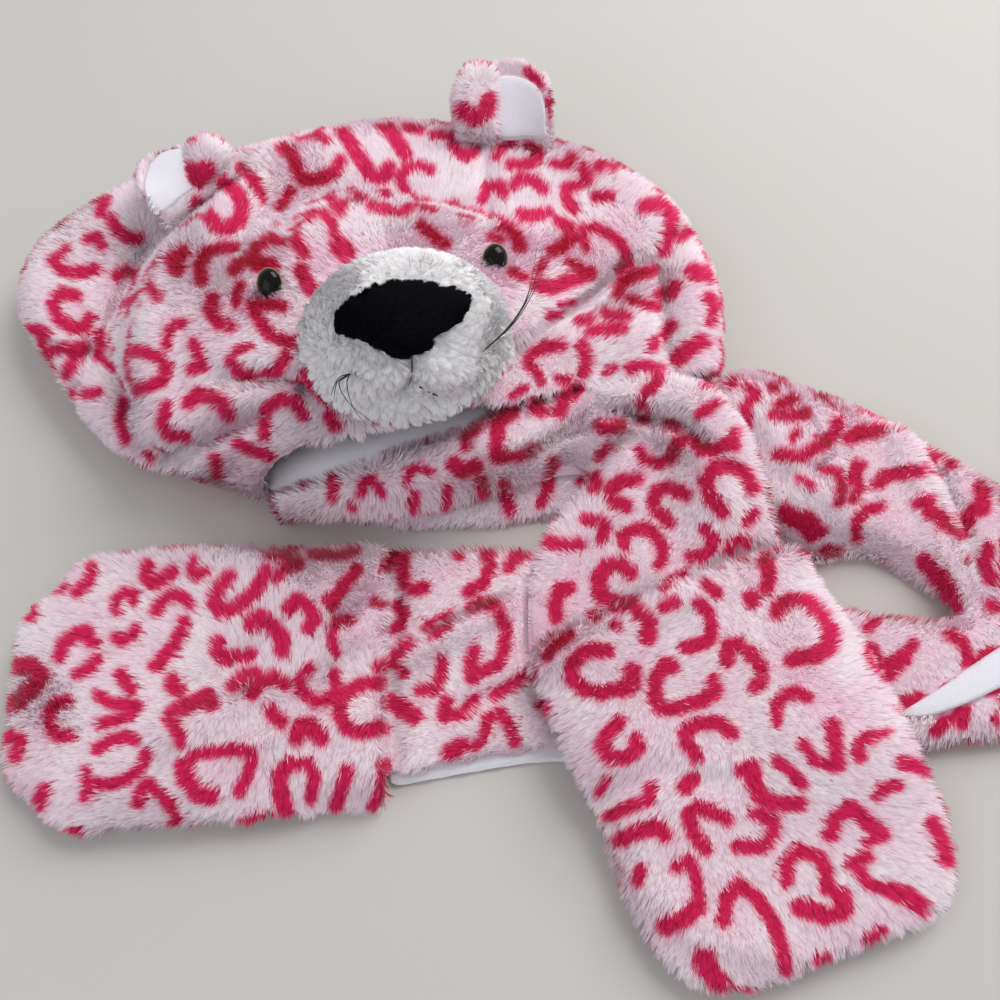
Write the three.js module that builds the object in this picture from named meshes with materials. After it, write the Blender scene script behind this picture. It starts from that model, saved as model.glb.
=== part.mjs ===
// A plush animal hood with a scarf and two hand pockets, lying on its back
import * as THREE from "three";

// Driving sizes in millimetres
// Shares of the hood's width and depth place everything that lies on the floor, from the hood's middle
const hood = { width: 361, depth: 232, wall: 5, rim: 20 };
const hoodHeight = { side: 47, face: 78, flap: 36, mouth: 52 };
const lip = { width: 24, height: 21, thickness: 3 };
const nape = { height: 13 };
const tail = { width: 112, thickness: 9, end: 6, roll: 27 };
const lining = { thickness: 3, showing: 4 };
const turnStripe = { width: 17, thickness: 3 };
const pocket = { length: 168, width: 134, cloth: 5, hollow: 16, corner: 40 };
const muzzle = { width: 100, length: 86, height: 45, seat: 66, depth: 20 };
const nose = { width: 62, length: 46, thickness: 5 };
const eye = { diameter: 14.5, height: 8 };
const ear = { width: 52, length: 44, cloth: 5, cup: 8, gap: 0.9, lining: 2.5, inset: 4 };
// Seam is the space kept at a sewn edge, and lay the space under a layer that lies on another
const seam = 0.4;
const lay = 0.4;

const colours = {
  plush: [0xf3b9c8, 0.95],
  fleece: [0xf4f3f7, 0.9],
  muzzle: [0xf2f1ee, 0.95],
  nose: [0x0c0b0d, 0.9],
  eye: [0x050505, 0.12],
};

const { clamp, lerp, smoothstep, degToRad } = THREE.MathUtils;
const place = ([x, y]) => new THREE.Vector2(x * hood.width, y * hood.depth);
const curveOf = (table) => new THREE.SplineCurve(table.map(place));

// A table's column read smoothly at a share of its rows
function read(table, column, share) {
  const position = clamp(share, 0, 1) * (table.length - 1);
  const row = Math.min(Math.floor(position), table.length - 2);
  const at = (k) => table[clamp(k, 0, table.length - 1)][column];
  return new THREE.SplineCurve([
    new THREE.Vector2(at(row - 1), 0),
    new THREE.Vector2(at(row), 0),
    new THREE.Vector2(at(row + 1), 0),
    new THREE.Vector2(at(row + 2), 0),
  ]).getPoint((1 + position - row) / 3).x;
}

// Closed solids

function geometryOf(points, index) {
  let volume = 0;
  const cross = new THREE.Vector3();
  for (let k = 0; k < index.length; k += 3) {
    cross.crossVectors(points[index[k + 1]], points[index[k + 2]]);
    volume += points[index[k]].dot(cross);
  }
  if (volume < 0) index.reverse();
  const geometry = new THREE.BufferGeometry();
  geometry.setAttribute("position", new THREE.Float32BufferAttribute(points.flatMap((p) => p.toArray()), 3));
  geometry.setIndex(index);
  geometry.computeVertexNormals();
  return geometry;
}

// Two faces on one grid, each a function of u and v from 0 to 1, joined round the edge
function slab(columns, rows, front, back) {
  const points = [];
  for (const face of [front, back]) {
    for (let j = 0; j <= rows; j++) {
      for (let i = 0; i <= columns; i++) points.push(face(i / columns, j / rows));
    }
  }
  const index = [];
  const quad = (a, b, c, d) => index.push(a, b, c, a, c, d);
  const f = (i, j) => j * (columns + 1) + i;
  const b = (i, j) => f(i, j) + (columns + 1) * (rows + 1);
  for (let j = 0; j < rows; j++) {
    for (let i = 0; i < columns; i++) {
      quad(f(i, j), f(i + 1, j), f(i + 1, j + 1), f(i, j + 1));
      quad(b(i, j), b(i, j + 1), b(i + 1, j + 1), b(i + 1, j));
    }
  }
  for (let i = 0; i < columns; i++) {
    quad(f(i, 0), b(i, 0), b(i + 1, 0), f(i + 1, 0));
    quad(f(i, rows), f(i + 1, rows), b(i + 1, rows), b(i, rows));
  }
  for (let j = 0; j < rows; j++) {
    quad(f(0, j), f(0, j + 1), b(0, j + 1), b(0, j));
    quad(f(columns, j), b(columns, j), b(columns, j + 1), f(columns, j + 1));
  }
  return geometryOf(points, index);
}

// A round solid from rings about its middle, with top and bottom as functions of angle and ring share
function dome(segments, rings, top, bottom) {
  const points = [top(0, 0), bottom(0, 0)];
  const index = [];
  for (const face of [top, bottom]) {
    for (let r = 1; r <= rings; r++) {
      for (let s = 0; s < segments; s++) points.push(face((2 * Math.PI * s) / segments, r / rings));
    }
  }
  const t = (r, s) => 2 + (r - 1) * segments + (s % segments);
  const b = (r, s) => t(r, s) + rings * segments;
  for (let s = 0; s < segments; s++) {
    index.push(0, t(1, s), t(1, s + 1));
    index.push(1, b(1, s + 1), b(1, s));
    for (let r = 1; r < rings; r++) {
      index.push(t(r, s), t(r + 1, s), t(r + 1, s + 1), t(r, s), t(r + 1, s + 1), t(r, s + 1));
      index.push(b(r, s), b(r + 1, s + 1), b(r + 1, s), b(r, s), b(r, s + 1), b(r + 1, s + 1));
    }
    index.push(t(rings, s), b(rings, s), b(rings, s + 1), t(rings, s), b(rings, s + 1), t(rings, s + 1));
  }
  return geometryOf(points, index);
}

// A sack with an outer and an inner skin, open where v is 0
function sack(columns, rows, outer, inner) {
  const around = 2 * columns;
  const points = [];
  for (const skin of [outer, inner]) {
    for (let j = 0; j <= rows; j++) {
      for (let k = 0; k < around; k++) {
        const under = k > columns;
        const u = (under ? around - k : k) / columns;
        points.push(skin(u, j / rows, under));
      }
    }
  }
  const index = [];
  const quad = (a, b, c, d) => index.push(a, b, c, a, c, d);
  const o = (k, j) => j * around + (k % around);
  const n = (k, j) => o(k, j) + around * (rows + 1);
  for (let k = 0; k < around; k++) {
    for (let j = 0; j < rows; j++) {
      quad(o(k, j), o(k + 1, j), o(k + 1, j + 1), o(k, j + 1));
      quad(n(k, j), n(k, j + 1), n(k + 1, j + 1), n(k + 1, j));
    }
    quad(o(k, 0), n(k, 0), n(k + 1, 0), o(k + 1, 0));
  }
  for (let i = 0; i < columns; i++) {
    const low = (k) => (around - k) % around;
    quad(o(i, rows), o(i + 1, rows), o(low(i + 1), rows), o(low(i), rows));
    quad(n(i, rows), n(low(i), rows), n(low(i + 1), rows), n(i + 1, rows));
  }
  return geometryOf(points, index.filter((_, k) => {
    const first = k - (k % 3);
    const [a, b, c] = index.slice(first, first + 3);
    return a !== b && b !== c && a !== c;
  }));
}

// Layers lie on what is under them

const cell = hood.width / 150;
// How far round a point each layer feels what it lies on, in cells
const feel = { tail: 8, lining: 3, muzzle: 2.5, nose: 2, stripe: 2, pocket: 1.6, ear: 1, eye: 0.9 };
// A cell just outside a triangle still counts, by this share of the triangle
const slack = 0.35;
const keySpan = 4096;
const restSamples = 8;

class Pile {
  constructor() {
    this.heights = new Map();
  }

  // Keeps the top of a solid, cell by cell
  add(geometry) {
    const position = geometry.getAttribute("position");
    const index = geometry.getIndex().array;
    const corner = [0, 1, 2].map(() => new THREE.Vector3());
    for (let k = 0; k < index.length; k += 3) {
      corner.forEach((c, n) => c.fromBufferAttribute(position, index[k + n]));
      this.addTriangle(...corner);
    }
    return this;
  }

  addTriangle(a, b, c) {
    const area = (b.x - a.x) * (c.y - a.y) - (c.x - a.x) * (b.y - a.y);
    if (Math.abs(area) < 1e-6) return;
    const low = (n) => Math.floor(Math.min(a[n], b[n], c[n]) / cell);
    const high = (n) => Math.ceil(Math.max(a[n], b[n], c[n]) / cell);
    for (let i = low("x"); i <= high("x"); i++) {
      for (let j = low("y"); j <= high("y"); j++) {
        const x = i * cell;
        const y = j * cell;
        const wb = ((x - a.x) * (c.y - a.y) - (c.x - a.x) * (y - a.y)) / area;
        const wc = ((b.x - a.x) * (y - a.y) - (x - a.x) * (b.y - a.y)) / area;
        if (wb < -slack || wc < -slack || wb + wc > 1 + slack) continue;
        const z = a.z + clamp(wb, 0, 1) * (b.z - a.z) + clamp(wc, 0, 1) * (c.z - a.z);
        const key = i * keySpan + j;
        const top = Math.min(z, Math.max(a.z, b.z, c.z));
        this.heights.set(key, Math.max(this.heights.get(key) ?? 0, top));
      }
    }
  }

  highest(x, y, reach) {
    const span = Math.ceil(reach / cell);
    const i0 = Math.round(x / cell);
    const j0 = Math.round(y / cell);
    let top = 0;
    for (let i = -span; i <= span; i++) {
      for (let j = -span; j <= span; j++) {
        if (Math.hypot(i, j) * cell > reach) continue;
        top = Math.max(top, this.heights.get((i0 + i) * keySpan + j0 + j) ?? 0);
      }
    }
    return top;
  }

  // The height of a cloth laid over the pile, which bridges steps instead of touching their corners
  rest(x, y, cells) {
    const reach = cells * cell;
    let sum = 0;
    for (let k = 0; k < restSamples; k++) {
      const angle = (2 * Math.PI * k) / restSamples;
      sum += this.highest(x + (Math.cos(angle) * reach) / 2, y + (Math.sin(angle) * reach) / 2, reach);
    }
    const top = sum / restSamples;
    return top > 0 ? top + lay : 0;
  }
}

// The hood's outline on the floor, as shares of its width and depth
const mouthTable = [
  [-0.137, -0.5], [-0.071, -0.461], [-0.015, -0.422], [0.057, -0.397], [0.137, -0.36],
  [0.217, -0.318], [0.325, -0.262], [0.425, -0.21], [0.5, -0.165],
];
const leftTable = [
  [-0.137, -0.5], [-0.226, -0.444], [-0.306, -0.414], [-0.37, -0.336], [-0.437, -0.198],
  [-0.492, -0.069], [-0.512, 0.043], [-0.5, 0.15], [-0.44, 0.256],
];
const crownTable = [
  [-0.44, 0.256], [-0.353, 0.335], [-0.253, 0.385], [-0.126, 0.455], [-0.037, 0.5],
  [0.051, 0.513], [0.148, 0.487], [0.273, 0.444], [0.345, 0.394], [0.415, 0.3], [0.465, 0.205],
];
const rightTable = [[0.5, -0.165], [0.506, -0.078], [0.506, 0.009], [0.494, 0.099], [0.465, 0.205]];
const outline = {
  mouth: curveOf(mouthTable),
  left: curveOf(leftTable),
  crown: curveOf(crownTable),
  right: curveOf(rightTable),
};

// A point inside the outline, u from left to right and v from the mouth to the crown
function hoodPlan(u, v) {
  const mouth = outline.mouth.getPointAt(u);
  const crown = outline.crown.getPointAt(u);
  const left = outline.left.getPointAt(v);
  const right = outline.right.getPointAt(v);
  const corner = (a, b, share) => a.clone().lerp(b, share);
  const fromEnds = corner(mouth, crown, v);
  const fromSides = corner(left, right, u);
  const low = corner(outline.mouth.getPoint(0), outline.mouth.getPoint(1), u);
  const high = corner(outline.crown.getPoint(0), outline.crown.getPoint(1), u);
  return fromEnds.add(fromSides).sub(corner(low, high, v));
}

// Rises of the upper layer, each a soft mound with its place, radii and height over the sides
const mounds = [
  { x: 0.05, y: -0.2, rx: 0.26, ry: 0.33, rise: hoodHeight.face - hoodHeight.side, blunt: 4 },
  { x: -0.42, y: 0.0, rx: 0.11, ry: 0.5, rise: hoodHeight.flap - hoodHeight.side, blunt: 4 },
  { x: -0.24, y: -0.12, rx: 0.1, ry: 0.3, rise: (hoodHeight.face - hoodHeight.side) * 0.4, blunt: 2 },
  { x: 0.44, y: 0.0, rx: 0.08, ry: 0.2, rise: (hoodHeight.face - hoodHeight.side) * 0.25, blunt: 2 },
];
// Main dents of the upper layer: a line of points, with depth as a share of the sides' height
const dents = [
  {
    line: [[-0.281, 0.2], [-0.328, 0.06], [-0.35, -0.078], [-0.356, -0.207], [-0.32, -0.4]],
    depth: 0.3,
    width: 0.033,
  },
  { line: [[0.2, -0.26], [0.314, -0.108], [0.373, 0.0], [0.458, 0.108]], depth: 0.26, width: 0.035 },
  { line: [[0.411, 0.017], [0.417, -0.155], [0.417, -0.26]], depth: 0.16, width: 0.03 },
  { line: [[-0.242, -0.47], [-0.19, -0.405], [-0.129, -0.349]], depth: 0.15, width: 0.03 },
];

function distanceToLine(point, line) {
  const nearest = new THREE.Vector3();
  const target = new THREE.Vector3(point.x, point.y, 0);
  let least = Infinity;
  for (let k = 0; k + 1 < line.length; k++) {
    const a = place(line[k]);
    const b = place(line[k + 1]);
    const segment = new THREE.Line3(new THREE.Vector3(a.x, a.y, 0), new THREE.Vector3(b.x, b.y, 0));
    segment.closestPointToPoint(target, true, nearest);
    least = Math.min(least, nearest.distanceTo(target));
  }
  return least;
}

// How squarely the upper layer rounds down to the rim at the sides and the crown, how its rows and
// columns close up there, and where it leaves the mouth's height
const hoodForm = {
  sides: 6, crown: 7, crownReach: 0.985, round: 0.42, over: 1.03, columns: 0.45, rows: 1.25, mouthEnds: 0.16,
};
// The wall is measured along the slope at the hood's edge, so it takes more of the outline there
const wallAtEdge = { u: 1.6, v: 1.3 };

// The height of the upper layer before its edge is rounded down
function hoodTop(point, v) {
  let height = hoodHeight.side;
  for (const m of mounds) {
    const centre = place([m.x, m.y]);
    const across = (point.x - centre.x) / (m.rx * hood.width);
    const r = Math.hypot(across, (point.y - centre.y) / (m.ry * hood.depth));
    height += m.rise * Math.exp(-(r ** m.blunt));
  }
  for (const d of dents) {
    const r = distanceToLine(point, d.line) / (d.width * hood.width);
    height -= d.depth * hoodHeight.side * Math.exp(-r * r);
  }
  return lerp(Math.min(height, hoodHeight.mouth), height, smoothstep(v, 0, hoodForm.mouthEnds));
}

// One skin of the hood: inset moves it in from the outline and thickness moves it in from the surface
function hoodSkin(inset, thickness) {
  return (share, along, under) => {
    const spread = 0.5 - 0.5 * Math.cos(Math.PI * share);
    const u = lerp(share, spread, hoodForm.columns);
    const v = 1 - (1 - along) ** hoodForm.rows;
    const side = Math.max(0, 1 - Math.abs(2 * u - 1) ** hoodForm.sides) ** hoodForm.round;
    const crown = (1 - (hoodForm.crownReach * v) ** hoodForm.crown) ** hoodForm.round;
    const round = Math.min(1, hoodForm.over * side * crown);
    const innerV = v * (1 - inset.v);
    const plan = hoodPlan(lerp(inset.u, 1 - inset.u, u), innerV);
    const top = hoodTop(plan, innerV) - thickness;
    const z = lerp(hood.rim, under ? thickness : top, round);
    return new THREE.Vector3(plan.x, plan.y, z);
  };
}

function hoodCrown() {
  const inset = {
    u: (wallAtEdge.u * hood.wall) / hood.width,
    v: (wallAtEdge.v * hood.wall) / hood.depth,
  };
  return sack(24, 15, hoodSkin({ u: 0, v: 0 }, 0), hoodSkin(inset, hood.wall));
}

// A layer that lies on a pile, with its plan and thickness as functions of u and v
function layer(columns, rows, plan, thickness, under) {
  const base = (u, v) => {
    const p = plan(u, v);
    return new THREE.Vector3(p.x, p.y, under(p, u, v));
  };
  const top = (u, v) => base(u, v).add(new THREE.Vector3(0, 0, thickness(u, v)));
  return slab(columns, rows, top, base);
}

// The rounded height of a padded layer across its width, as a share of its full height
function padded(u, edge, blunt) {
  return edge + (1 - edge) * Math.max(0, 1 - Math.abs(2 * u - 1) ** blunt) ** 0.5;
}

// The scarf's middle, from its front edge to the hood's mouth, ending where the right half begins
const napeTable = [
  [-0.109, -0.535], [-0.043, -0.505], [0.026, -0.526], [0.109, -0.534], [0.19, -0.53],
  [0.273, -0.509], [0.356, -0.517], [0.44, -0.548],
];
const napeFront = curveOf(napeTable);
// The shares of the mouth that it follows, where it turns to the right half, and its front edge's height
const napeForm = { from: 0.06, to: 0.985, turns: 0.72, edge: 0.45, blunt: 4 };

function scarfNape(rightEnd) {
  const back = (u) => {
    const share = lerp(napeForm.from, napeForm.to, u);
    const point = outline.mouth.getPointAt(share);
    const normal = outline.mouth.getTangentAt(share);
    return point.add(new THREE.Vector2(normal.y, -normal.x).multiplyScalar(2 * seam));
  };
  const plan = (u, v) => {
    const free = napeFront.getPointAt(u).lerp(back(u), v);
    const end = rightEnd(v);
    const drift = smoothstep(u, napeForm.turns, 1);
    const shift = end.clone().sub(napeFront.getPointAt(1).lerp(back(1), v));
    return free.add(shift.multiplyScalar(drift));
  };
  const swell = (v) => Math.max(0, 1 - (1 - v) ** napeForm.blunt) ** 0.5;
  const thickness = (u, v) => nape.height * lerp(napeForm.edge, 1, swell(v));
  return layer(16, 5, plan, thickness, () => 0);
}

// The white lip of the lining from its left end to its right end, by its width and rise
const lipRows = [
  { width: 0, rise: 0.55 },
  { width: 0.95, rise: 1 },
  { width: 1, rise: 1 },
  { width: 0.93, rise: 0.97 },
  { width: 0.55, rise: 0.75 },
];
// The shares of the mouth that the lip spans, and how much of its width lies outside and inside
const lipForm = { from: 0.17, to: 0.66, outside: 0.16, inside: 0.25, widens: 0.6, round: 0.6 };

function hoodLining(under) {
  const plan = (u, v) => {
    const share = lerp(lipForm.from, lipForm.to, u);
    const tangent = outline.mouth.getTangentAt(share);
    const inward = new THREE.Vector2(-tangent.y, tangent.x);
    const width = read(lipRows, "width", u);
    const from = -lip.width * lipForm.outside * width;
    const to = lip.width * (lipForm.inside + lipForm.widens * width);
    return outline.mouth.getPointAt(share).add(inward.multiplyScalar(lerp(from, to, v)));
  };
  const thickness = (u, v) => {
    const rise = read(lipRows, "rise", u) * Math.cos(0.5 * Math.PI * clamp(v, 0, 1)) ** lipForm.round;
    return lerp(lip.thickness, lip.height, rise);
  };
  const base = (p) => Math.max(hood.wall + seam, under.rest(p.x, p.y, feel.lining));
  return layer(18, 5, plan, thickness, base);
}

// Strips: the outer edge in shares of the hood, the turn of each row in degrees from the x axis,
// its width as a share of the scarf's width, and its height as a share of the scarf's thickness
const tailARows = [
  { x: -0.109, y: -0.512, turn: -92, width: 0.08, high: 1.2, roll: 0.2 },
  { x: -0.032, y: -0.474, turn: -84, width: 0.15, high: 1.6, roll: 0.45 },
  { x: 0.032, y: -0.437, turn: -76, width: 0.22, high: 1.7, roll: 0.9 },
  { x: 0.098, y: -0.401, turn: -68, width: 0.25, high: 1.7, roll: 1.0 },
  { x: 0.19, y: -0.354, turn: -66, width: 0.26, high: 1.7, roll: 1.0 },
  { x: 0.27, y: -0.312, turn: -70, width: 0.28, high: 1.7, roll: 1.0 },
  { x: 0.345, y: -0.27, turn: -92, width: 0.34, high: 1.5, roll: 1.0 },
  { x: 0.422, y: -0.242, turn: -128, width: 0.48, high: 1.2, roll: 0.95 },
  { x: 0.487, y: -0.296, turn: -156, width: 0.6, high: 1.0, roll: 0.8 },
  { x: 0.528, y: -0.41, turn: -170, width: 0.73, high: 1.0, roll: 0.55 },
  { x: 0.54, y: -0.51, turn: -173, width: 0.9, high: 1.0, roll: 0.3 },
  { x: 0.552, y: -0.585, turn: -170, width: 1.06, high: 0.9, roll: 0.15 },
  { x: 0.576, y: -0.648, turn: -159, width: 1.22, high: 0.8, roll: 0.05 },
];
const tailBRows = [
  { x: 0.513, y: -0.172, turn: -100, width: 0.82, high: 2.7, roll: 0 },
  { x: 0.558, y: -0.165, turn: -96, width: 0.84, high: 2.7, roll: 0 },
  { x: 0.616, y: -0.202, turn: -92, width: 0.86, high: 2.4, roll: 0 },
  { x: 0.688, y: -0.25, turn: -100, width: 0.76, high: 2.1, roll: 0 },
  { x: 0.769, y: -0.341, turn: -116, width: 0.62, high: 2.0, roll: 0.2 },
  { x: 0.855, y: -0.444, turn: -134, width: 0.58, high: 2.0, roll: 0.3 },
  { x: 0.932, y: -0.57, turn: -158, width: 0.62, high: 2.0, roll: 0.3 },
  { x: 0.968, y: -0.724, turn: 178, width: 0.6, high: 1.9, roll: 0.3 },
  { x: 0.935, y: -0.895, turn: 146, width: 0.56, high: 1.8, roll: 0.2 },
  { x: 0.855, y: -0.998, turn: 118, width: 0.53, high: 1.5, roll: 0.1 },
  { x: 0.744, y: -1.026, turn: 100, width: 0.55, high: 1.2, roll: 0 },
  { x: 0.633, y: -1.034, turn: 94, width: 0.62, high: 1.0, roll: 0 },
  { x: 0.522, y: -1.043, turn: 91, width: 0.72, high: 0.9, roll: 0 },
  { x: 0.384, y: -1.047, turn: 90, width: 0.82, high: 0.9, roll: 0 },
  { x: 0.251, y: -1.039, turn: 91, width: 0.9, high: 0.9, roll: 0 },
  { x: 0.157, y: -1.06, turn: 92, width: 0.96, high: 0.9, roll: 0 },
  { x: 0.05, y: -1.092, turn: 93, width: 1.02, high: 0.8, roll: 0 },
];

// The section of a strip: the height kept at its edges, and how squarely it and its roll are padded
const sheetForm = { edge: 0.4, blunt: 6 };
const rollForm = { edge: 0.35, blunt: 4, spread: 0.62 };

function strip(rows) {
  const edge = new THREE.SplineCurve(rows.map((r) => place([r.x, r.y])));
  // Angles are kept turning the same way round, without a jump of a full turn
  const turned = rows.map((r) => ({ ...r }));
  turned.forEach((r, k) => {
    while (k > 0 && r.turn - turned[k - 1].turn > 180) r.turn -= 360;
    while (k > 0 && r.turn - turned[k - 1].turn < -180) r.turn += 360;
  });
  return {
    direction: (share) => {
      const angle = degToRad(read(turned, "turn", share));
      return new THREE.Vector2(Math.cos(angle), Math.sin(angle));
    },
    width: (share) => read(turned, "width", share) * tail.width,
    outer: (share) => edge.getPoint(share),
    point(u, share) {
      return this.outer(share).add(this.direction(share).multiplyScalar(u * this.width(share)));
    },
    height(u, share) {
      const sheet = read(turned, "high", share) * tail.thickness;
      const roll = Math.max(0, read(turned, "roll", share)) * Math.max(0, tail.roll - sheet);
      const narrow = clamp(tail.roll / this.width(share), 0, 1);
      const bump = Math.exp(-(((u - narrow / 2) / (rollForm.spread * narrow)) ** 4));
      const body = sheet * padded(u, sheetForm.edge, sheetForm.blunt);
      return body + roll * bump * padded(u, rollForm.edge, rollForm.blunt);
    },
  };
}

// The pocket's plan and its arch: where it reaches full width, how much its round corners take, how its
// rows close up towards them, and how squarely the arch stands from side to side and ends at the tip
const pocketForm = {
  fullAt: 0.6, cornerDepth: 0.85, rows: 1.6, sides: 4, tip: 6, mouthRise: 0.75, risesBy: 0.3,
};

// The pocket lies along its strip's end: its own frame runs from the mouth's middle
function pocketFrame(path) {
  const outer = path.point(0, 1);
  const inner = path.point(1, 1);
  return ({ heading, gather, slip }) => ({
    mouth: outer.clone().lerp(inner, 0.5 - slip),
    along: new THREE.Vector2(Math.cos(degToRad(heading)), Math.sin(degToRad(heading))),
    across: inner.clone().sub(outer).normalize(),
    strip: path.width(1),
    mouthWidth: gather * pocket.width,
  });
}

function pocketPlan(frame, inset) {
  const { mouth, along, across } = frame;
  return (u, w, mouthWidth) => {
    const run = w * (pocket.length - inset);
    const left = pocket.length - inset - run;
    const cut = left < pocket.corner
      ? pocket.corner - Math.sqrt(pocket.corner ** 2 - (pocket.corner - left) ** 2)
      : 0;
    const full = lerp(mouthWidth, pocket.width, smoothstep(w, 0, pocketForm.fullAt));
    const half = full / 2 - inset - pocketForm.cornerDepth * cut;
    return mouth
      .clone()
      .add(along.clone().multiplyScalar(run))
      .add(across.clone().multiplyScalar((2 * u - 1) * half));
  };
}

// Rows close up towards the pocket's round corners
const pocketRow = (w) => 1 - (1 - w) ** pocketForm.rows;

// Where along a scarf half its padded strip becomes the flat layer behind the pocket
const blend = { from: 0.9, to: 1.05 };

// A scarf half: its strip, and behind the pocket the back layer down to the pocket's end
function tailSolid(path, frame, under, columns, stripRows, pocketRows) {
  const share = stripRows / (stripRows + pocketRows);
  const end = pocketPlan(frame, pocket.cloth / 2);
  const plan = (u, v) =>
    v <= share ? path.point(u, v / share) : end(u, pocketRow((v - share) / (1 - share)), frame.strip);
  const thickness = (u, v) => {
    const behind = smoothstep(v, share * blend.from, share * blend.to);
    return lerp(path.height(u, Math.min(1, v / share)), tail.end, behind);
  };
  return layer(columns, stripRows + pocketRows, plan, thickness, (p) => under.rest(p.x, p.y, feel.tail));
}

// The front of a pocket, arched over the hand's hollow and sewn to the strip on three sides
function pocketSolid(frame, under) {
  const plan = pocketPlan(frame, 0);
  const arch = (u, w) => {
    const across = Math.max(0, 1 - Math.abs(2 * u - 1) ** pocketForm.sides);
    const along = lerp(pocketForm.mouthRise, 1, smoothstep(w, 0, pocketForm.risesBy));
    return pocket.hollow * across * along * (1 - w ** pocketForm.tip);
  };
  const lifted = (u, w) => {
    const row = pocketRow(w);
    const p = plan(u, row, frame.mouthWidth);
    return new THREE.Vector3(p.x, p.y, under.rest(p.x, p.y, feel.pocket) + arch(u, row));
  };
  const front = (u, w) => lifted(u, w).add(new THREE.Vector3(0, 0, pocket.cloth));
  return slab(12, 12, front, lifted);
}

// The white back of the right half, lying under its return and showing at its lower edge
const backForm = { from: 0.6, across: 0.8 };

function tailBLining(path) {
  const plan = (u, v) => {
    const share = lerp(backForm.from, 1, v);
    const across = lerp(-lining.showing, path.width(share) * backForm.across, u);
    const reach = path.direction(share).multiplyScalar(across);
    return path.outer(share).add(reach);
  };
  return layer(6, 16, plan, () => lining.thickness, () => 0);
}

// The stripe of white back that turns up on the return beside the loop
const stripeForm = { from: 0.5, to: 0.64, across: 0.5, ends: 0.4 };

function tailBTurnStripe(path, under) {
  const plan = (u, v) => {
    const share = lerp(stripeForm.from, stripeForm.to, v);
    const width = turnStripe.width * lerp(stripeForm.ends, 1, Math.sin(Math.PI * v));
    const offset = path.width(share) * stripeForm.across + (u - 0.5) * width;
    return path.outer(share).add(path.direction(share).multiplyScalar(offset));
  };
  const thickness = (u) => turnStripe.thickness * padded(u, sheetForm.edge, 2);
  return layer(4, 8, plan, thickness, (p) => under.rest(p.x, p.y, feel.stripe));
}

// The face, in shares of the hood
const facePlaces = {
  muzzle: [0.068, -0.272],
  nose: [0.068, -0.325],
  eyes: { eye_left: [-0.116, -0.15], eye_right: [0.184, -0.072] },
  roll: 9,
};

function faceFrame(centre) {
  const c = place(centre);
  const angle = degToRad(facePlaces.roll);
  return (x, y) => new THREE.Vector2(x, y).rotateAround(new THREE.Vector2(), angle).add(c);
}

// Cushioned pieces stand at least this far over their seat at their edge
const edgeHeight = { muzzle: 1.5, eye: 1 };
const muzzleBlunt = 2.4;
const muzzleTop = (ring) => muzzle.seat + muzzle.height * Math.sqrt(Math.max(0, 1 - ring ** muzzleBlunt));

function muzzleSolid(under) {
  const frame = faceFrame(facePlaces.muzzle);
  const at = (angle, ring) =>
    frame((Math.cos(angle) * ring * muzzle.width) / 2, (Math.sin(angle) * ring * muzzle.length) / 2);
  const seat = (p) => under.rest(p.x, p.y, feel.muzzle) + lay;
  const low = (angle, ring) => {
    const p = at(angle, ring);
    const hung = muzzle.seat - muzzle.depth * Math.sqrt(Math.max(0, 1 - ring ** 2));
    return new THREE.Vector3(p.x, p.y, Math.max(hung, seat(p)));
  };
  const high = (angle, ring) => {
    const below = low(angle, ring);
    below.z = Math.max(below.z + edgeHeight.muzzle, muzzleTop(ring));
    return below;
  };
  return dome(26, 5, high, low);
}

// The nose patch is a wide, blunt triangle with round corners, pointing at the mouth
const noseForm = { waist: 0.7, corner: 0.3, edge: 0.4, blunt: 4 };
const noseCorners = [{ at: 10, sharp: 0.5 }, { at: 170, sharp: 0.5 }, { at: -90, sharp: 0.42 }];

function noseRadius(angle) {
  let radius = noseForm.waist;
  for (const { at, sharp } of noseCorners) {
    const turn = angle - degToRad(at);
    const away = Math.atan2(Math.sin(turn), Math.cos(turn)) / sharp;
    radius += noseForm.corner * Math.exp(-away * away);
  }
  return radius;
}

function noseSolid(under) {
  const frame = faceFrame(facePlaces.nose);
  const at = (angle, ring) => {
    const r = ring * noseRadius(angle);
    return frame((Math.cos(angle) * r * nose.width) / 2, (Math.sin(angle) * r * nose.length) / 2);
  };
  const low = (angle, ring) => {
    const p = at(angle, ring);
    return new THREE.Vector3(p.x, p.y, under.rest(p.x, p.y, feel.nose) + lay);
  };
  const high = (angle, ring) => {
    const round = Math.sqrt(Math.max(0, 1 - ring ** noseForm.blunt));
    const rise = nose.thickness * lerp(noseForm.edge, 1, round);
    return low(angle, ring).add(new THREE.Vector3(0, 0, rise));
  };
  return dome(24, 3, high, low);
}

function eyeSolid(name, under) {
  const frame = faceFrame(facePlaces.eyes[name]);
  const at = (angle, ring) =>
    frame((Math.cos(angle) * ring * eye.diameter) / 2, (Math.sin(angle) * ring * eye.diameter) / 2);
  const low = (angle, ring) => {
    const p = at(angle, ring);
    return new THREE.Vector3(p.x, p.y, under.rest(p.x, p.y, feel.eye));
  };
  const middle = low(0, 0).z;
  const high = (angle, ring) => {
    const below = low(angle, ring);
    const round = middle + eye.height * Math.sqrt(Math.max(0, 1 - ring ** 2));
    below.z = Math.max(below.z + edgeHeight.eye, round);
    return below;
  };
  return dome(14, 3, high, low);
}

// Ears stand back from the crown's edge, facing up and to the front
const ears = {
  ear_left: { at: [-0.245, 0.19], spin: 42, curl: 1, lean: 8 },
  ear_right: { at: [0.201, 0.385], spin: -6, curl: -1, lean: 30 },
};

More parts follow.
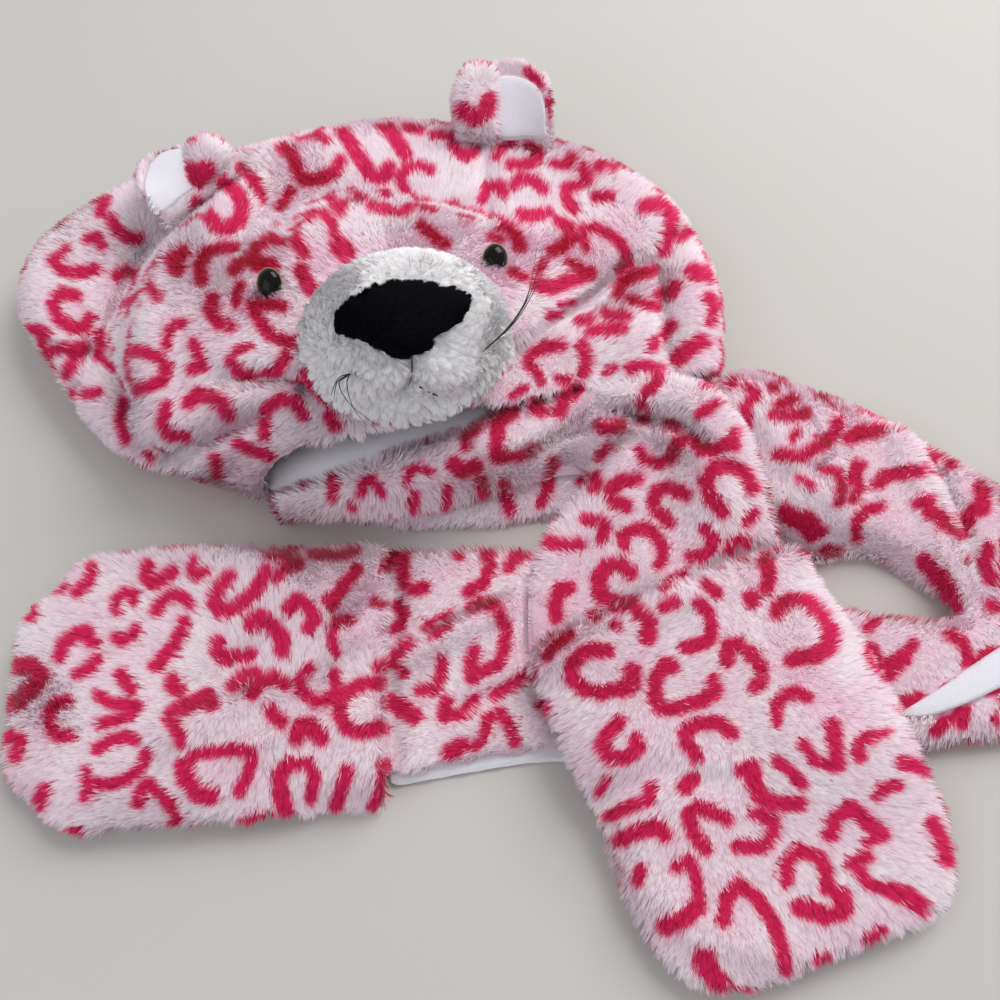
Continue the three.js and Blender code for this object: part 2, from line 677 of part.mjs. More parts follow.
function earFrame({ at, spin, lean }) {
  const base = place(at);
  const turn = degToRad(spin);
  const back = degToRad(lean);
  const right = new THREE.Vector3(Math.cos(turn), Math.sin(turn), 0);
  const up = new THREE.Vector3(-Math.sin(turn), Math.cos(turn), 0);
  up.multiplyScalar(Math.cos(back)).setZ(Math.sin(back));
  const face = right.clone().cross(up);
  const origin = new THREE.Vector3(base.x, base.y, hood.rim + ear.cup + ear.cloth);
  return (x, y, out) =>
    origin.clone().addScaledVector(right, x).addScaledVector(up, y).addScaledVector(face, out);
}

// How deep the ear is dished and curled in at one side, over which share of its length the cup opens,
// how much the curl narrows it, and how round its tip is
const earForm = {
  dish: 0.8, curl: 0.6, from: -0.6, to: 0.5, narrows: 0.12, rootEnds: 0.4, tip: 3, least: 0.02,
};

// The ear as a bent plane: x across it, y up it, out towards its front
function earSurface(which, under) {
  const frame = earFrame(which);
  const bend = (x, y, out) => {
    const across = x / (ear.width / 2);
    const curled = Math.max(0, -across * which.curl) ** 2;
    const opens = smoothstep(y, earForm.from * ear.length, earForm.to * ear.length);
    const cup = ear.cup * (earForm.dish * across ** 2 + earForm.curl * curled) * opens;
    return frame(x * (1 - earForm.narrows * curled), y, cup + out);
  };
  const need = (x, y) => {
    const p = bend(x, y, 0);
    return under.rest(p.x, p.y, feel.ear) - p.z;
  };
  const steps = [0, 0.25, 0.5, 0.75, 1];
  const highest = Math.max(...steps.flatMap((sx) =>
    steps.map((sy) => need((sx - 0.5) * ear.width, sy * ear.length))));
  const root = (x) => Math.max(highest - ear.cup, (need(x - cell, 0) + need(x, 0) + need(x + cell, 0)) / 3);
  return (x, y, out) => {
    const p = bend(x, y, out);
    p.z += lerp(root(x), highest, smoothstep(y, 0, earForm.rootEnds * ear.length));
    return p;
  };
}

// One face of the ear, round at the top
function earFace(surface, inset, out) {
  return (u, v) => {
    const rise = Math.sin((Math.PI / 2) * v);
    const narrow = Math.sqrt(Math.max(earForm.least, 1 - rise ** earForm.tip));
    const x = (2 * u - 1) * (ear.width / 2 - inset) * narrow;
    return surface(x, inset * 0.5 + (ear.length - 1.5 * inset) * rise, out);
  };
}

function earSolids(name, which, under) {
  const surface = earSurface(which, under);
  const low = ear.cloth + ear.gap;
  const high = low + ear.lining;
  addPart(name, slab(10, 8, earFace(surface, 0, ear.cloth), earFace(surface, 0, 0)), colours.plush);
  const inner = slab(10, 8, earFace(surface, ear.inset, high), earFace(surface, ear.inset, low));
  addPart(`${name}_lining`, inner, colours.fleece);
}

// The parts are built in the order in which they lie on each other
const part = new THREE.Group();
// Each pocket's heading in degrees, how much its mouth is gathered, and how far it slips across its strip
const pockets = {
  a: { heading: -69, gather: 1.02, slip: 0 },
  b: { heading: 184, gather: 0.94, slip: 0.06 },
};

function addPart(name, geometry, [colour, roughness]) {
  const material = new THREE.MeshStandardMaterial({ color: colour, roughness, metalness: 0 });
  const mesh = new THREE.Mesh(geometry, material);
  mesh.name = name;
  part.add(mesh);
  return geometry;
}

const pathA = strip(tailARows);
const pathB = strip(tailBRows);
const frameA = pocketFrame(pathA)(pockets.a);
const frameB = pocketFrame(pathB)(pockets.b);

const backUnderTail = addPart("tail_b_lining", tailBLining(pathB), colours.fleece);
const underTailB = new Pile().add(backUnderTail);
const tailB = addPart("tail_b", tailSolid(pathB, frameB, underTailB, 7, 40, 9), colours.plush);
addPart("tail_b_lining_turn", tailBTurnStripe(pathB, new Pile().add(tailB)), colours.fleece);
addPart("pocket_b", pocketSolid(frameB, new Pile().add(tailB)), colours.plush);

const napeEnd = (v) => pathB.point(1 - v, 0).add(new THREE.Vector2(-seam, 0));
const napeLayer = addPart("scarf_nape", scarfNape(napeEnd), colours.plush);
const crown = addPart("hood_crown", hoodCrown(), colours.plush);

addPart("hood_lining", hoodLining(new Pile().add(napeLayer)), colours.fleece);

const underTailA = new Pile().add(backUnderTail).add(tailB).add(napeLayer);
const tailA = addPart("tail_a", tailSolid(pathA, frameA, underTailA, 10, 28, 9), colours.plush);
addPart("pocket_a", pocketSolid(frameA, new Pile().add(tailA)), colours.plush);

const face = new Pile().add(crown);
const muzzleLayer = addPart("muzzle", muzzleSolid(face), colours.muzzle);
addPart("nose", noseSolid(new Pile().add(muzzleLayer)), colours.nose);
for (const name of Object.keys(facePlaces.eyes)) addPart(name, eyeSolid(name, face), colours.eye);
for (const [name, which] of Object.entries(ears)) earSolids(name, which, face);

// The origin is the middle of the whole thing's underside
const box = new THREE.Box3().setFromObject(part);
const middle = box.getCenter(new THREE.Vector3());
part.position.set(-middle.x, -middle.y, -box.min.z);
part.updateMatrixWorld(true);

export default part;
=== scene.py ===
# A plush animal hood with a scarf and two hand pockets, lying on a pale floor
import math

import bpy
import numpy as np
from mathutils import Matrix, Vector
from mathutils.bvhtree import BVHTree
from mathutils.kdtree import KDTree


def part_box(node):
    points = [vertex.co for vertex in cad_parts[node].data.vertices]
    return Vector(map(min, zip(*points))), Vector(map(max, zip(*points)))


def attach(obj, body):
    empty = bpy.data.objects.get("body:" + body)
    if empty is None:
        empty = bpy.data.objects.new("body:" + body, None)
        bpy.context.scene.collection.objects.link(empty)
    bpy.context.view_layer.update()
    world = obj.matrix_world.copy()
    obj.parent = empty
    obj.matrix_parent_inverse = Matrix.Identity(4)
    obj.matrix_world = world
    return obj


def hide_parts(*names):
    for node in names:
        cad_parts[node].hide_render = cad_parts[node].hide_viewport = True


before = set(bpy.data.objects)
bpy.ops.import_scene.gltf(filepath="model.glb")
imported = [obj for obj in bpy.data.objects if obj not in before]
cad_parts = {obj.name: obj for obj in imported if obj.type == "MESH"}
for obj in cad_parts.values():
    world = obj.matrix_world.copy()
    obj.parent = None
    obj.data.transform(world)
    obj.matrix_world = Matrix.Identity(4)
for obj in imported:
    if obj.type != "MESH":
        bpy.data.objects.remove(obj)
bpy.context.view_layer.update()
MM = 0.001

# The photograph's camera: its frame in pixels, its angle and the point on the floor at its middle
FRAME = 1000
ELEVATION = math.radians(60)
FIELD = math.radians(40)
FOCAL = FRAME / 2 / math.tan(FIELD / 2)
PIXEL = 0.5 * MM
LOOK = np.array([-13.56, 0.87, 0.0]) * MM
FORWARD = np.array([0.0, math.cos(ELEVATION), -math.sin(ELEVATION)])
RIGHT = np.array([1.0, 0.0, 0.0])
UP = np.cross(RIGHT, FORWARD)
CAMERA = LOOK - FORWARD * PIXEL * FOCAL


def to_photo(points):
    away = points - CAMERA
    depth = away @ FORWARD
    x = FRAME / 2 + FOCAL * (away @ RIGHT) / depth
    y = FRAME / 2 - FOCAL * (away @ UP) / depth
    return np.stack([x, y], axis=-1)


def sight(px, py):
    ray = FORWARD + RIGHT * (px - FRAME / 2) / FOCAL - UP * (py - FRAME / 2) / FOCAL
    return ray / np.linalg.norm(ray)


def unit(vectors):
    return vectors / np.maximum(np.linalg.norm(vectors, axis=-1, keepdims=True), 1e-9)


def smoothstep(value, low, high):
    t = np.clip((value - low) / (high - low), 0, 1)
    return t * t * (3 - 2 * t)


# What the random draws start from
SEEDS = {"spare": 3, "print": 11, "waves": 5, "phases": 6, "plush": 20, "plain": 40}

# The print: each mark is its half width and the points that its stroke passes, in pixels of the frame
FLAP_MARKS = [
    (6, (107, 198), (102, 212)),
    (6, (113, 220), (118, 230), (128, 238), (138, 238)),
    (5, (88, 239), (98, 236), (103, 246)),
    (6, (54, 260), (62, 269), (77, 273), (96, 269)),
    (4, (67, 248), (60, 256)),
    (6, (78, 296), (63, 292), (54, 303), (60, 318), (73, 328), (86, 328), (90, 318)),
    (6, (22, 331), (38, 330), (47, 334), (42, 346)),
    (6, (43, 358), (60, 350), (83, 347), (76, 360), (68, 375)),
    (5, (88, 394), (99, 392)),
    (5, (64, 402), (74, 394)),
    (6, (100, 334), (103, 345), (100, 357)),
    (5, (108, 361), (115, 368)),
    (5, (116, 275), (126, 270), (135, 275)),
    (5, (144, 273), (150, 284), (159, 297)),
    (4, (126, 305), (138, 303)),
]
FACE_MARKS = [
    (6, (121, 350), (140, 350), (158, 355), (168, 366), (163, 379), (150, 385), (136, 388)),
    (5, (126, 362), (130, 382)),
    (5, (168, 344), (168, 332), (175, 324), (184, 322)),
    (6, (195, 343), (199, 356), (204, 364), (192, 368)),
    (6, (212, 298), (210, 312), (218, 323), (230, 326)),
    (4, (236, 304), (237, 292), (240, 285)),
    (8, (182, 253), (173, 260), (177, 268)),
    (6, (201, 280), (200, 265), (206, 252), (222, 247), (238, 250), (241, 262), (234, 270)),
    (7, (196, 204), (206, 216), (216, 227), (226, 229), (238, 222), (241, 206), (236, 192), (222, 182)),
    (6, (240, 168), (254, 180), (262, 198)),
    (5, (280, 206), (290, 191)),
    (5, (251, 262), (257, 248), (270, 239), (282, 241)),
    (7, (256, 264), (272, 265)),
    (6, (252, 305), (260, 322), (272, 336), (288, 342), (298, 341)),
    (5, (258, 304), (283, 306)),
    (6, (231, 360), (240, 370), (258, 376), (276, 371), (286, 356)),
    (4, (236, 350), (250, 346)),
    (7, (189, 402), (200, 392), (212, 397), (224, 402), (231, 414)),
    (6, (166, 405), (162, 422), (171, 433), (187, 434)),
    (6, (265, 435), (267, 408), (280, 398), (295, 400), (304, 414)),
    (7, (330, 415), (335, 424)),
    (6, (240, 443), (255, 450), (269, 455)),
    (6, (217, 458), (219, 473)),
    (6, (125, 400), (121, 420), (127, 437)),
    (4, (147, 452), (152, 456)),
    (6, (283, 148), (292, 154), (298, 172), (305, 181), (322, 178), (336, 171), (341, 162)),
    (4, (300, 138), (318, 136), (328, 143)),
    (7, (341, 128), (350, 142), (362, 162), (372, 178), (384, 180), (389, 170)),
    (7, (382, 122), (392, 134), (400, 146), (406, 157)),
    (5, (408, 128), (420, 132)),
    (5, (434, 137), (450, 139)),
    (6, (452, 148), (462, 158), (472, 154)),
    (5, (430, 172), (420, 168), (407, 170), (400, 180), (404, 192), (412, 202), (426, 205)),
    (7, (334, 200), (342, 210)),
    (5, (342, 205), (352, 193), (362, 198)),
    (5, (370, 208), (385, 212), (400, 213), (410, 208)),
    (3, (378, 193), (386, 198)),
    (5, (440, 210), (453, 207)),
    (6, (462, 215), (476, 217)),
    (5, (420, 225), (430, 233), (436, 240), (445, 244)),
    (5, (302, 219), (310, 214), (325, 215), (334, 224), (335, 236)),
    (10, (340, 246), (346, 252)),
    (6, (295, 232), (298, 245), (305, 253)),
    (7, (301, 270), (306, 280), (311, 289)),
    (6, (306, 372), (316, 388), (330, 400)),
    (5, (495, 158), (501, 148), (512, 143)),
    (6, (528, 146), (537, 152), (534, 162), (522, 167), (509, 167)),
    (5, (552, 165), (565, 166), (570, 158)),
    (5, (596, 168), (604, 161), (611, 168)),
    (6, (582, 168), (586, 180), (577, 187), (566, 189), (568, 202), (574, 209)),
    (6, (596, 197), (609, 197)),
    (6, (514, 187), (519, 181), (532, 182), (543, 192)),
    (6, (482, 200), (486, 190), (498, 187), (502, 194)),
    (6, (519, 217), (530, 219), (549, 215)),
    (6, (492, 222), (505, 226), (514, 235), (520, 247)),
    (3, (488, 236), (500, 240)),
    (6, (560, 223), (570, 227), (570, 239), (560, 248), (550, 252)),
    (5, (581, 238), (584, 229), (595, 227), (612, 235), (624, 247), (628, 262), (619, 270)),
    (4, (583, 240), (586, 248)),
    (7, (643, 207), (658, 204), (667, 211), (669, 222), (666, 240), (664, 252)),
    (6, (679, 238), (690, 228), (700, 232), (706, 244), (708, 256)),
    (8, (692, 272), (708, 275)),
    (6, (706, 297), (712, 306), (708, 320)),
    (6, (658, 294), (669, 294), (675, 286)),
    (6, (616, 294), (621, 283), (637, 274), (655, 270)),
    (7, (536, 283), (548, 288), (566, 281), (588, 273)),
    (4, (568, 262), (578, 266)),
    (4, (536, 271), (542, 263)),
    (4, (511, 272), (524, 276)),
    (3, (558, 304), (570, 302)),
    (4, (547, 315), (556, 313)),
    (5, (628, 300), (640, 303), (655, 306)),
    (6, (604, 315), (624, 316)),
    (5, (576, 322), (588, 320)),
    (6, (589, 332), (604, 331), (620, 329)),
    (6, (580, 345), (586, 360), (583, 372)),
    (6, (530, 354), (545, 346), (560, 345)),
    (6, (650, 345), (662, 334), (670, 325)),
    (8, (676, 358), (686, 349), (700, 341)),
    (5, (527, 362), (537, 372), (541, 380)),
    (4, (512, 395), (525, 387)),
    (4, (558, 378), (566, 380)),
    (4, (604, 372), (612, 367)),
    (7, (705, 381), (716, 374), (729, 374), (730, 382)),
    (5, (720, 342), (735, 350)),
]
EAR_MARKS = [
    (8, (463, 110), (473, 118), (484, 112), (489, 100)),
    (9, (190, 172), (198, 180), (206, 170)),
    (4, (184, 138), (192, 140)),
    (4, (528, 72), (540, 84)),
    (3, (548, 100), (552, 118)),
]
ROLL_MARKS = [
    (4, (406, 483), (408, 470), (418, 467), (430, 472)),
    (5, (414, 494), (412, 507)),
    (5, (446, 489), (446, 505)),
    (8, (453, 464), (463, 471), (474, 467)),
    (5, (465, 447), (467, 434), (477, 426)),
    (7, (495, 455), (496, 437), (495, 425), (505, 415), (512, 411)),
    (5, (503, 458), (522, 455), (535, 447)),
    (6, (480, 480), (483, 492)),
    (6, (503, 484), (506, 498), (510, 510)),
    (7, (535, 403), (541, 411)),
    (7, (560, 410), (563, 397), (576, 388)),
    (6, (627, 368), (645, 365), (658, 369)),
    (5, (660, 375), (652, 387), (645, 391)),
    (5, (640, 402), (646, 409)),
    (5, (553, 462), (548, 485), (540, 503)),
    (7, (600, 427), (619, 426)),
    (4, (641, 420), (645, 421)),
    (5, (668, 422), (676, 428)),
    (5, (331, 472), (333, 486), (332, 497)),
    (5, (360, 492), (363, 481), (373, 480), (381, 492)),
    (4, (302, 480), (304, 483)),
    (4, (283, 481), (288, 483)),
    (4, (350, 504), (353, 506)),
    (4, (745, 385), (755, 392)),
]
DRAPE_MARKS = [
    (5, (598, 457), (607, 447)),
    (5, (638, 449), (644, 460), (660, 463), (671, 459), (675, 443), (683, 440)),
    (5, (580, 482), (594, 476), (598, 482), (592, 490)),
    (7, (636, 479), (620, 481), (609, 490), (612, 500), (625, 506)),
    (6, (687, 495), (670, 487), (655, 490), (652, 503), (661, 515), (670, 522)),
    (6, (585, 520), (598, 520), (605, 529), (601, 540)),
    (6, (542, 539), (560, 545), (580, 544)),
    (6, (624, 546), (622, 536), (636, 527), (652, 530), (661, 543), (663, 556), (659, 565)),
    (6, (690, 555), (703, 556)),
    (7, (569, 587), (560, 588), (555, 600), (556, 618)),
    (8, (630, 573), (619, 565), (605, 567), (597, 580), (600, 594), (614, 604), (630, 604)),
    (5, (663, 590), (670, 580), (683, 574)),
    (6, (592, 614), (594, 616)),
    (6, (695, 440), (698, 450), (714, 449), (728, 443)),
    (5, (698, 414), (716, 402)),
    (5, (733, 432), (735, 446)),
    (7, (722, 511), (711, 500), (705, 480), (713, 466), (731, 465), (745, 473), (752, 488)),
    (5, (755, 512), (746, 522)),
    (6, (705, 528), (714, 540), (707, 552), (692, 557)),
    (6, (728, 549), (734, 541), (745, 541)),
]
UPPER_STRIP_MARKS = [
    (6, (746, 426), (745, 409), (754, 397)),
    (4, (772, 387), (774, 389)),
    (5, (778, 405), (793, 399)),
    (5, (772, 416), (791, 417), (805, 413)),
    (6, (776, 456), (800, 457), (822, 444), (836, 431), (837, 420)),
    (7, (849, 437), (864, 432), (879, 428)),
    (4, (792, 440), (797, 432)),
    (5, (834, 402), (849, 403), (864, 408), (890, 413)),
    (4, (904, 422), (910, 424)),
    (5, (925, 441), (925, 448)),
    (5, (930, 461), (935, 452), (946, 449), (957, 452), (950, 463)),
    (8, (982, 508), (980, 491), (988, 475)),
    (6, (878, 482), (886, 475), (904, 472), (921, 470)),
    (5, (822, 470), (837, 471), (842, 485), (838, 502)),
    (7, (857, 466), (855, 480)),
    (5, (860, 486), (853, 500)),
    (4, (799, 479), (812, 487)),
    (5, (881, 505), (867, 509), (856, 522), (857, 538)),
    (5, (915, 503), (931, 499)),
    (7, (928, 510), (946, 521), (962, 533)),
    (7, (972, 509), (967, 521), (958, 521)),
    (9, (786, 514), (800, 521), (811, 533)),
    (8, (806, 518), (818, 530)),
    (5, (824, 551), (837, 552)),
    (7, (988, 549), (985, 564), (991, 579)),
    (9, (925, 562), (943, 582), (953, 605)),
]
RETURN_MARKS = [
    (6, (990, 605), (1000, 607)),
    (6, (950, 635), (962, 641), (967, 655), (968, 668)),
    (5, (968, 666), (990, 650)),
    (5, (867, 627), (876, 618)),
    (9, (869, 650), (874, 662), (885, 672), (901, 658)),
    (5, (901, 658), (914, 643)),
    (7, (902, 705), (916, 698)),
    (6, (935, 731), (950, 716), (964, 709), (962, 724)),
    (5, (995, 719), (1000, 721)),
    (6, (404, 549), (402, 565), (404, 583), (412, 589), (424, 587)),
    (6, (487, 552), (490, 566), (483, 583), (468, 591)),
    (4, (457, 555), (459, 556)),
    (6, (509, 567), (513, 558), (532, 551)),
    (6, (387, 565), (394, 550)),
    (6, (396, 605), (404, 613), (400, 626), (391, 630)),
    (6, (378, 667), (392, 661), (409, 642)),
    (4, (398, 666), (405, 674)),
    (6, (472, 606), (483, 601), (496, 607), (505, 624), (505, 645), (498, 664), (482, 671)),
    (7, (475, 651), (471, 664), (473, 678)),
    (6, (442, 661), (442, 675), (435, 690), (421, 690)),
    (9, (391, 701), (401, 706), (414, 715)),
    (6, (447, 701), (444, 716), (462, 714), (476, 699)),
    (6, (486, 731), (488, 718), (501, 713), (510, 727), (515, 741)),
    (8, (450, 752), (461, 745)),
    (5, (475, 745), (482, 740)),
    (6, (495, 695), (512, 685), (531, 671)),
    (6, (541, 704), (547, 706)),
    (4, (425, 627), (438, 620), (450, 613)),
    (4, (432, 637), (447, 626)),
]
POCKET_B_MARKS = [
    (7, (45, 588), (64, 587)),
    (4, (60, 573), (74, 565)),
    (6, (94, 568), (91, 582), (79, 593)),
    (6, (35, 606), (33, 617)),
    (5, (118, 611), (117, 600), (126, 592), (136, 594), (135, 602)),
    (7, (149, 567), (147, 578), (154, 584), (165, 579), (174, 573)),
    (5, (195, 563), (192, 572), (198, 578), (207, 573)),
    (7, (230, 579), (219, 590), (215, 604), (223, 614), (238, 609), (255, 594), (265, 574)),
    (4, (268, 559), (288, 556)),
    (6, (276, 581), (286, 568), (298, 563)),
    (6, (157, 611), (164, 601), (175, 594), (186, 598), (192, 605)),
    (6, (118, 637), (124, 641), (134, 635), (137, 629)),
    (7, (186, 623), (180, 638), (170, 653), (157, 665)),
    (7, (219, 643), (218, 653), (226, 659), (251, 657)),
    (8, (251, 626), (259, 619), (270, 626), (282, 640), (281, 654)),
    (7, (62, 656), (66, 643), (77, 635), (88, 631), (94, 641)),
    (6, (79, 674), (91, 668), (99, 659)),
    (8, (2, 667), (15, 666), (34, 666), (43, 675), (33, 687), (23, 697), (15, 704)),
    (7, (123, 674), (128, 683), (133, 689)),
    (7, (174, 679), (173, 687), (180, 689)),
    (6, (69, 701), (57, 702), (49, 713), (50, 727), (60, 736), (71, 735)),
    (6, (100, 695), (113, 703), (140, 705), (129, 716), (102, 724)),
    (6, (99, 749), (110, 741), (125, 736), (137, 739)),
    (8, (211, 703), (209, 695), (195, 702), (179, 708)),
    (6, (172, 712), (169, 718), (177, 728), (181, 741)),
    (6, (233, 686), (243, 677), (256, 675)),
    (6, (251, 694), (260, 683), (273, 678), (284, 684)),
    (6, (298, 681), (299, 690), (314, 700), (330, 699), (337, 688), (334, 674)),
    (7, (270, 710), (280, 721)),
    (7, (3, 738), (13, 735), (22, 740), (18, 755)),
    (7, (45, 788), (42, 802)),
    (6, (88, 796), (90, 783), (88, 771)),
    (6, (95, 783), (112, 784), (131, 778), (144, 766), (149, 752)),
    (6, (139, 802), (142, 790), (152, 782), (163, 795), (173, 806), (178, 818), (173, 830)),
    (9, (211, 794), (199, 793), (188, 779), (184, 765)),
    (6, (184, 765), (195, 753), (215, 749), (238, 749), (250, 750), (251, 761), (245, 778), (239, 789)),
    (8, (286, 810), (280, 791), (278, 773), (290, 762)),
    (6, (290, 762), (307, 761), (315, 773), (310, 796)),
    (5, (243, 820), (269, 813)),
    (6, (73, 831), (80, 834)),
    (4, (312, 555), (342, 556), (357, 551)),
    (6, (356, 569), (347, 582), (334, 597)),
    (7, (328, 600), (331, 606)),
    (4, (374, 601), (382, 604)),
    (7, (287, 611), (298, 600), (310, 610), (315, 622), (308, 631)),
    (5, (349, 620), (335, 623), (331, 638), (335, 654)),
    (5, (310, 668), (301, 675)),
    (7, (380, 683), (362, 684), (344, 695), (338, 712), (346, 726), (362, 731), (383, 727)),
    (8, (296, 736), (299, 727), (310, 725), (321, 736)),
    (7, (347, 769), (342, 785), (336, 803)),
    (6, (384, 764), (381, 790), (373, 804)),
]
POCKET_A_MARKS = [
    (5, (546, 656), (555, 645), (570, 634)),
    (4, (613, 623), (617, 628)),
    (8, (636, 611), (647, 621), (646, 637)),
    (6, (663, 607), (675, 603)),
    (6, (707, 584), (716, 592)),
    (7, (698, 604), (708, 613), (711, 628), (706, 641), (685, 648)),
    (7, (606, 650), (587, 650), (572, 661), (570, 676), (584, 689), (601, 693), (613, 689)),
    (9, (622, 688), (630, 684), (631, 671)),
    (7, (671, 667), (664, 663), (654, 680), (653, 696), (661, 708), (678, 707), (700, 700)),
    (7, (700, 700), (714, 692), (711, 680)),
    (7, (725, 661), (726, 645), (739, 644), (752, 656), (761, 668), (761, 680), (753, 686)),
    (7, (619, 721), (607, 733), (602, 745), (610, 756), (627, 756), (638, 747), (636, 739)),
    (7, (697, 756), (686, 741), (684, 731), (695, 723), (717, 722), (731, 732)),
    (8, (685, 786), (692, 777)),
    (5, (600, 790), (607, 779)),
    (7, (764, 559), (769, 573), (766, 587)),
    (8, (751, 597), (752, 600)),
    (7, (777, 613), (777, 607), (788, 600), (804, 601), (819, 616), (828, 632)),
    (9, (828, 632), (826, 647), (812, 655)),
    (7, (812, 655), (790, 660)),
    (5, (819, 571), (828, 579)),
    (6, (775, 721), (775, 706), (785, 694), (797, 691), (807, 697)),
    (6, (801, 743), (812, 759), (831, 765)),
    (8, (836, 762), (834, 750), (831, 724)),
    (7, (857, 755), (858, 742), (870, 735)),
    (4, (870, 735), (885, 732)),
    (6, (775, 759), (787, 768), (800, 783)),
    (7, (899, 761), (912, 765), (924, 769)),
    (6, (874, 794), (882, 786), (894, 785)),
    (8, (742, 768), (751, 765), (752, 778), (757, 793), (772, 802), (797, 802)),
    (6, (651, 785), (650, 799), (630, 805), (609, 815)),
    (8, (620, 838), (636, 830), (658, 825), (665, 833)),
    (6, (637, 880), (640, 869)),
    (7, (705, 847), (694, 833), (688, 813), (699, 806), (726, 818)),
    (6, (676, 866), (689, 858), (696, 878), (699, 900)),
    (9, (697, 906), (681, 919), (665, 924)),
    (7, (723, 920), (725, 900), (737, 882), (754, 894), (771, 918), (780, 942), (784, 966)),
    (7, (755, 812), (771, 818), (771, 833), (761, 846), (737, 845)),
    (7, (785, 880), (785, 861), (797, 849), (817, 855), (826, 872), (825, 887), (841, 894)),
    (9, (841, 894), (843, 908), (826, 914), (798, 905)),
    (8, (828, 832), (834, 816), (848, 806), (865, 821), (880, 833)),
    (5, (880, 835), (864, 841)),
    (8, (929, 822), (939, 839), (944, 858)),
    (7, (850, 862), (865, 855)),
    (6, (857, 868), (864, 880), (878, 887)),
    (9, (889, 888), (905, 894), (919, 905)),
    (6, (867, 938), (880, 928)),
    (11, (703, 956), (709, 969), (717, 979)),
    (5, (818, 958), (826, 955)),
    (4, (730, 988), (745, 990)),
]
MARKS = (
    FLAP_MARKS + FACE_MARKS + EAR_MARKS + ROLL_MARKS + DRAPE_MARKS
    + UPPER_STRIP_MARKS + RETURN_MARKS + POCKET_B_MARKS + POCKET_A_MARKS
)
# Marks where the photograph doesn't look: a tile of pixels, and the mean distance between its marks
TILE = 640
TILE_STEP = 40
# The scattered marks: sizes in pixels, angles in radians, the rest as shares
SPARE_MARK = {"jitter": 0.28, "radius": (10, 17), "half": (5, 7.5), "centring": 0.55, "points": 7}
SWEEPS = [0.7, 1.6, 2.6, 3.6]
SWEEP_SHARES = [0.25, 0.2, 0.3, 0.25]
# Where a mark's colour fades out and is full, in pixels inside its edge, and how far its distances reach
FADE = (-3.8, 3.2)
MARGIN = 20
FAR = 40.0
# How far a blade's colour may stray, in pixels, the share of the blades that stray further, and how much
BLEED = 1.2
STRAYS = 0.08
STRAY_MORE = 1.8


# Cloth drawn along: its shift in millimetres, its width in pixels, its least height, and its line
POCKET_A_EDGE = ((7, 0, 0), 45, -10, (870, 640), (905, 740), (945, 840), (935, 900))
POCKET_B_CORNERS = [
    ((7, -6, 0), 32, -10, (40, 575), (42, 578)),
    ((6, 6, 0), 32, -10, (12, 815), (14, 817)),
]
# The height in millimetres over which the pull sets in
PULL_RISE = 18
PULLS = {
    "hood_crown": [
        ((0, -7, -3), 22, 18, (505, 384), (540, 380), (600, 370)),
        ((0, -3, -2), 16, 18, (330, 428), (400, 420), (470, 412)),
        ((0, -9, -7), 24, 12, (615, 368), (650, 360), (685, 350), (705, 344)),
    ],
    "pocket_a": [POCKET_A_EDGE],
    "pocket_b": POCKET_B_CORNERS,
    "tail_b": POCKET_B_CORNERS,
    "tail_a": [
        POCKET_A_EDGE,
        ((0, 8, 1.5), 20, 10, (505, 421), (545, 410), (590, 398), (640, 384)),
    ],
    "ear_left": [
        ((3, -7, -3), 34, 10, (132, 170), (140, 140), (175, 128), (215, 132)),
    ],
    "tail_b_lining": [
        ((0, 9, 0), 34, -20, (895, 750), (940, 752), (1000, 744)),
    ],
    "nose": [
        ((-0.5, -2.5, 0), 200, 10, (400, 300), (410, 310)),
        ((0, 4, 0), 22, 10, (395, 366), (412, 368), (430, 364)),
        ((2.0, 0.5, 0), 22, 10, (465, 295), (470, 310)),
    ],
}
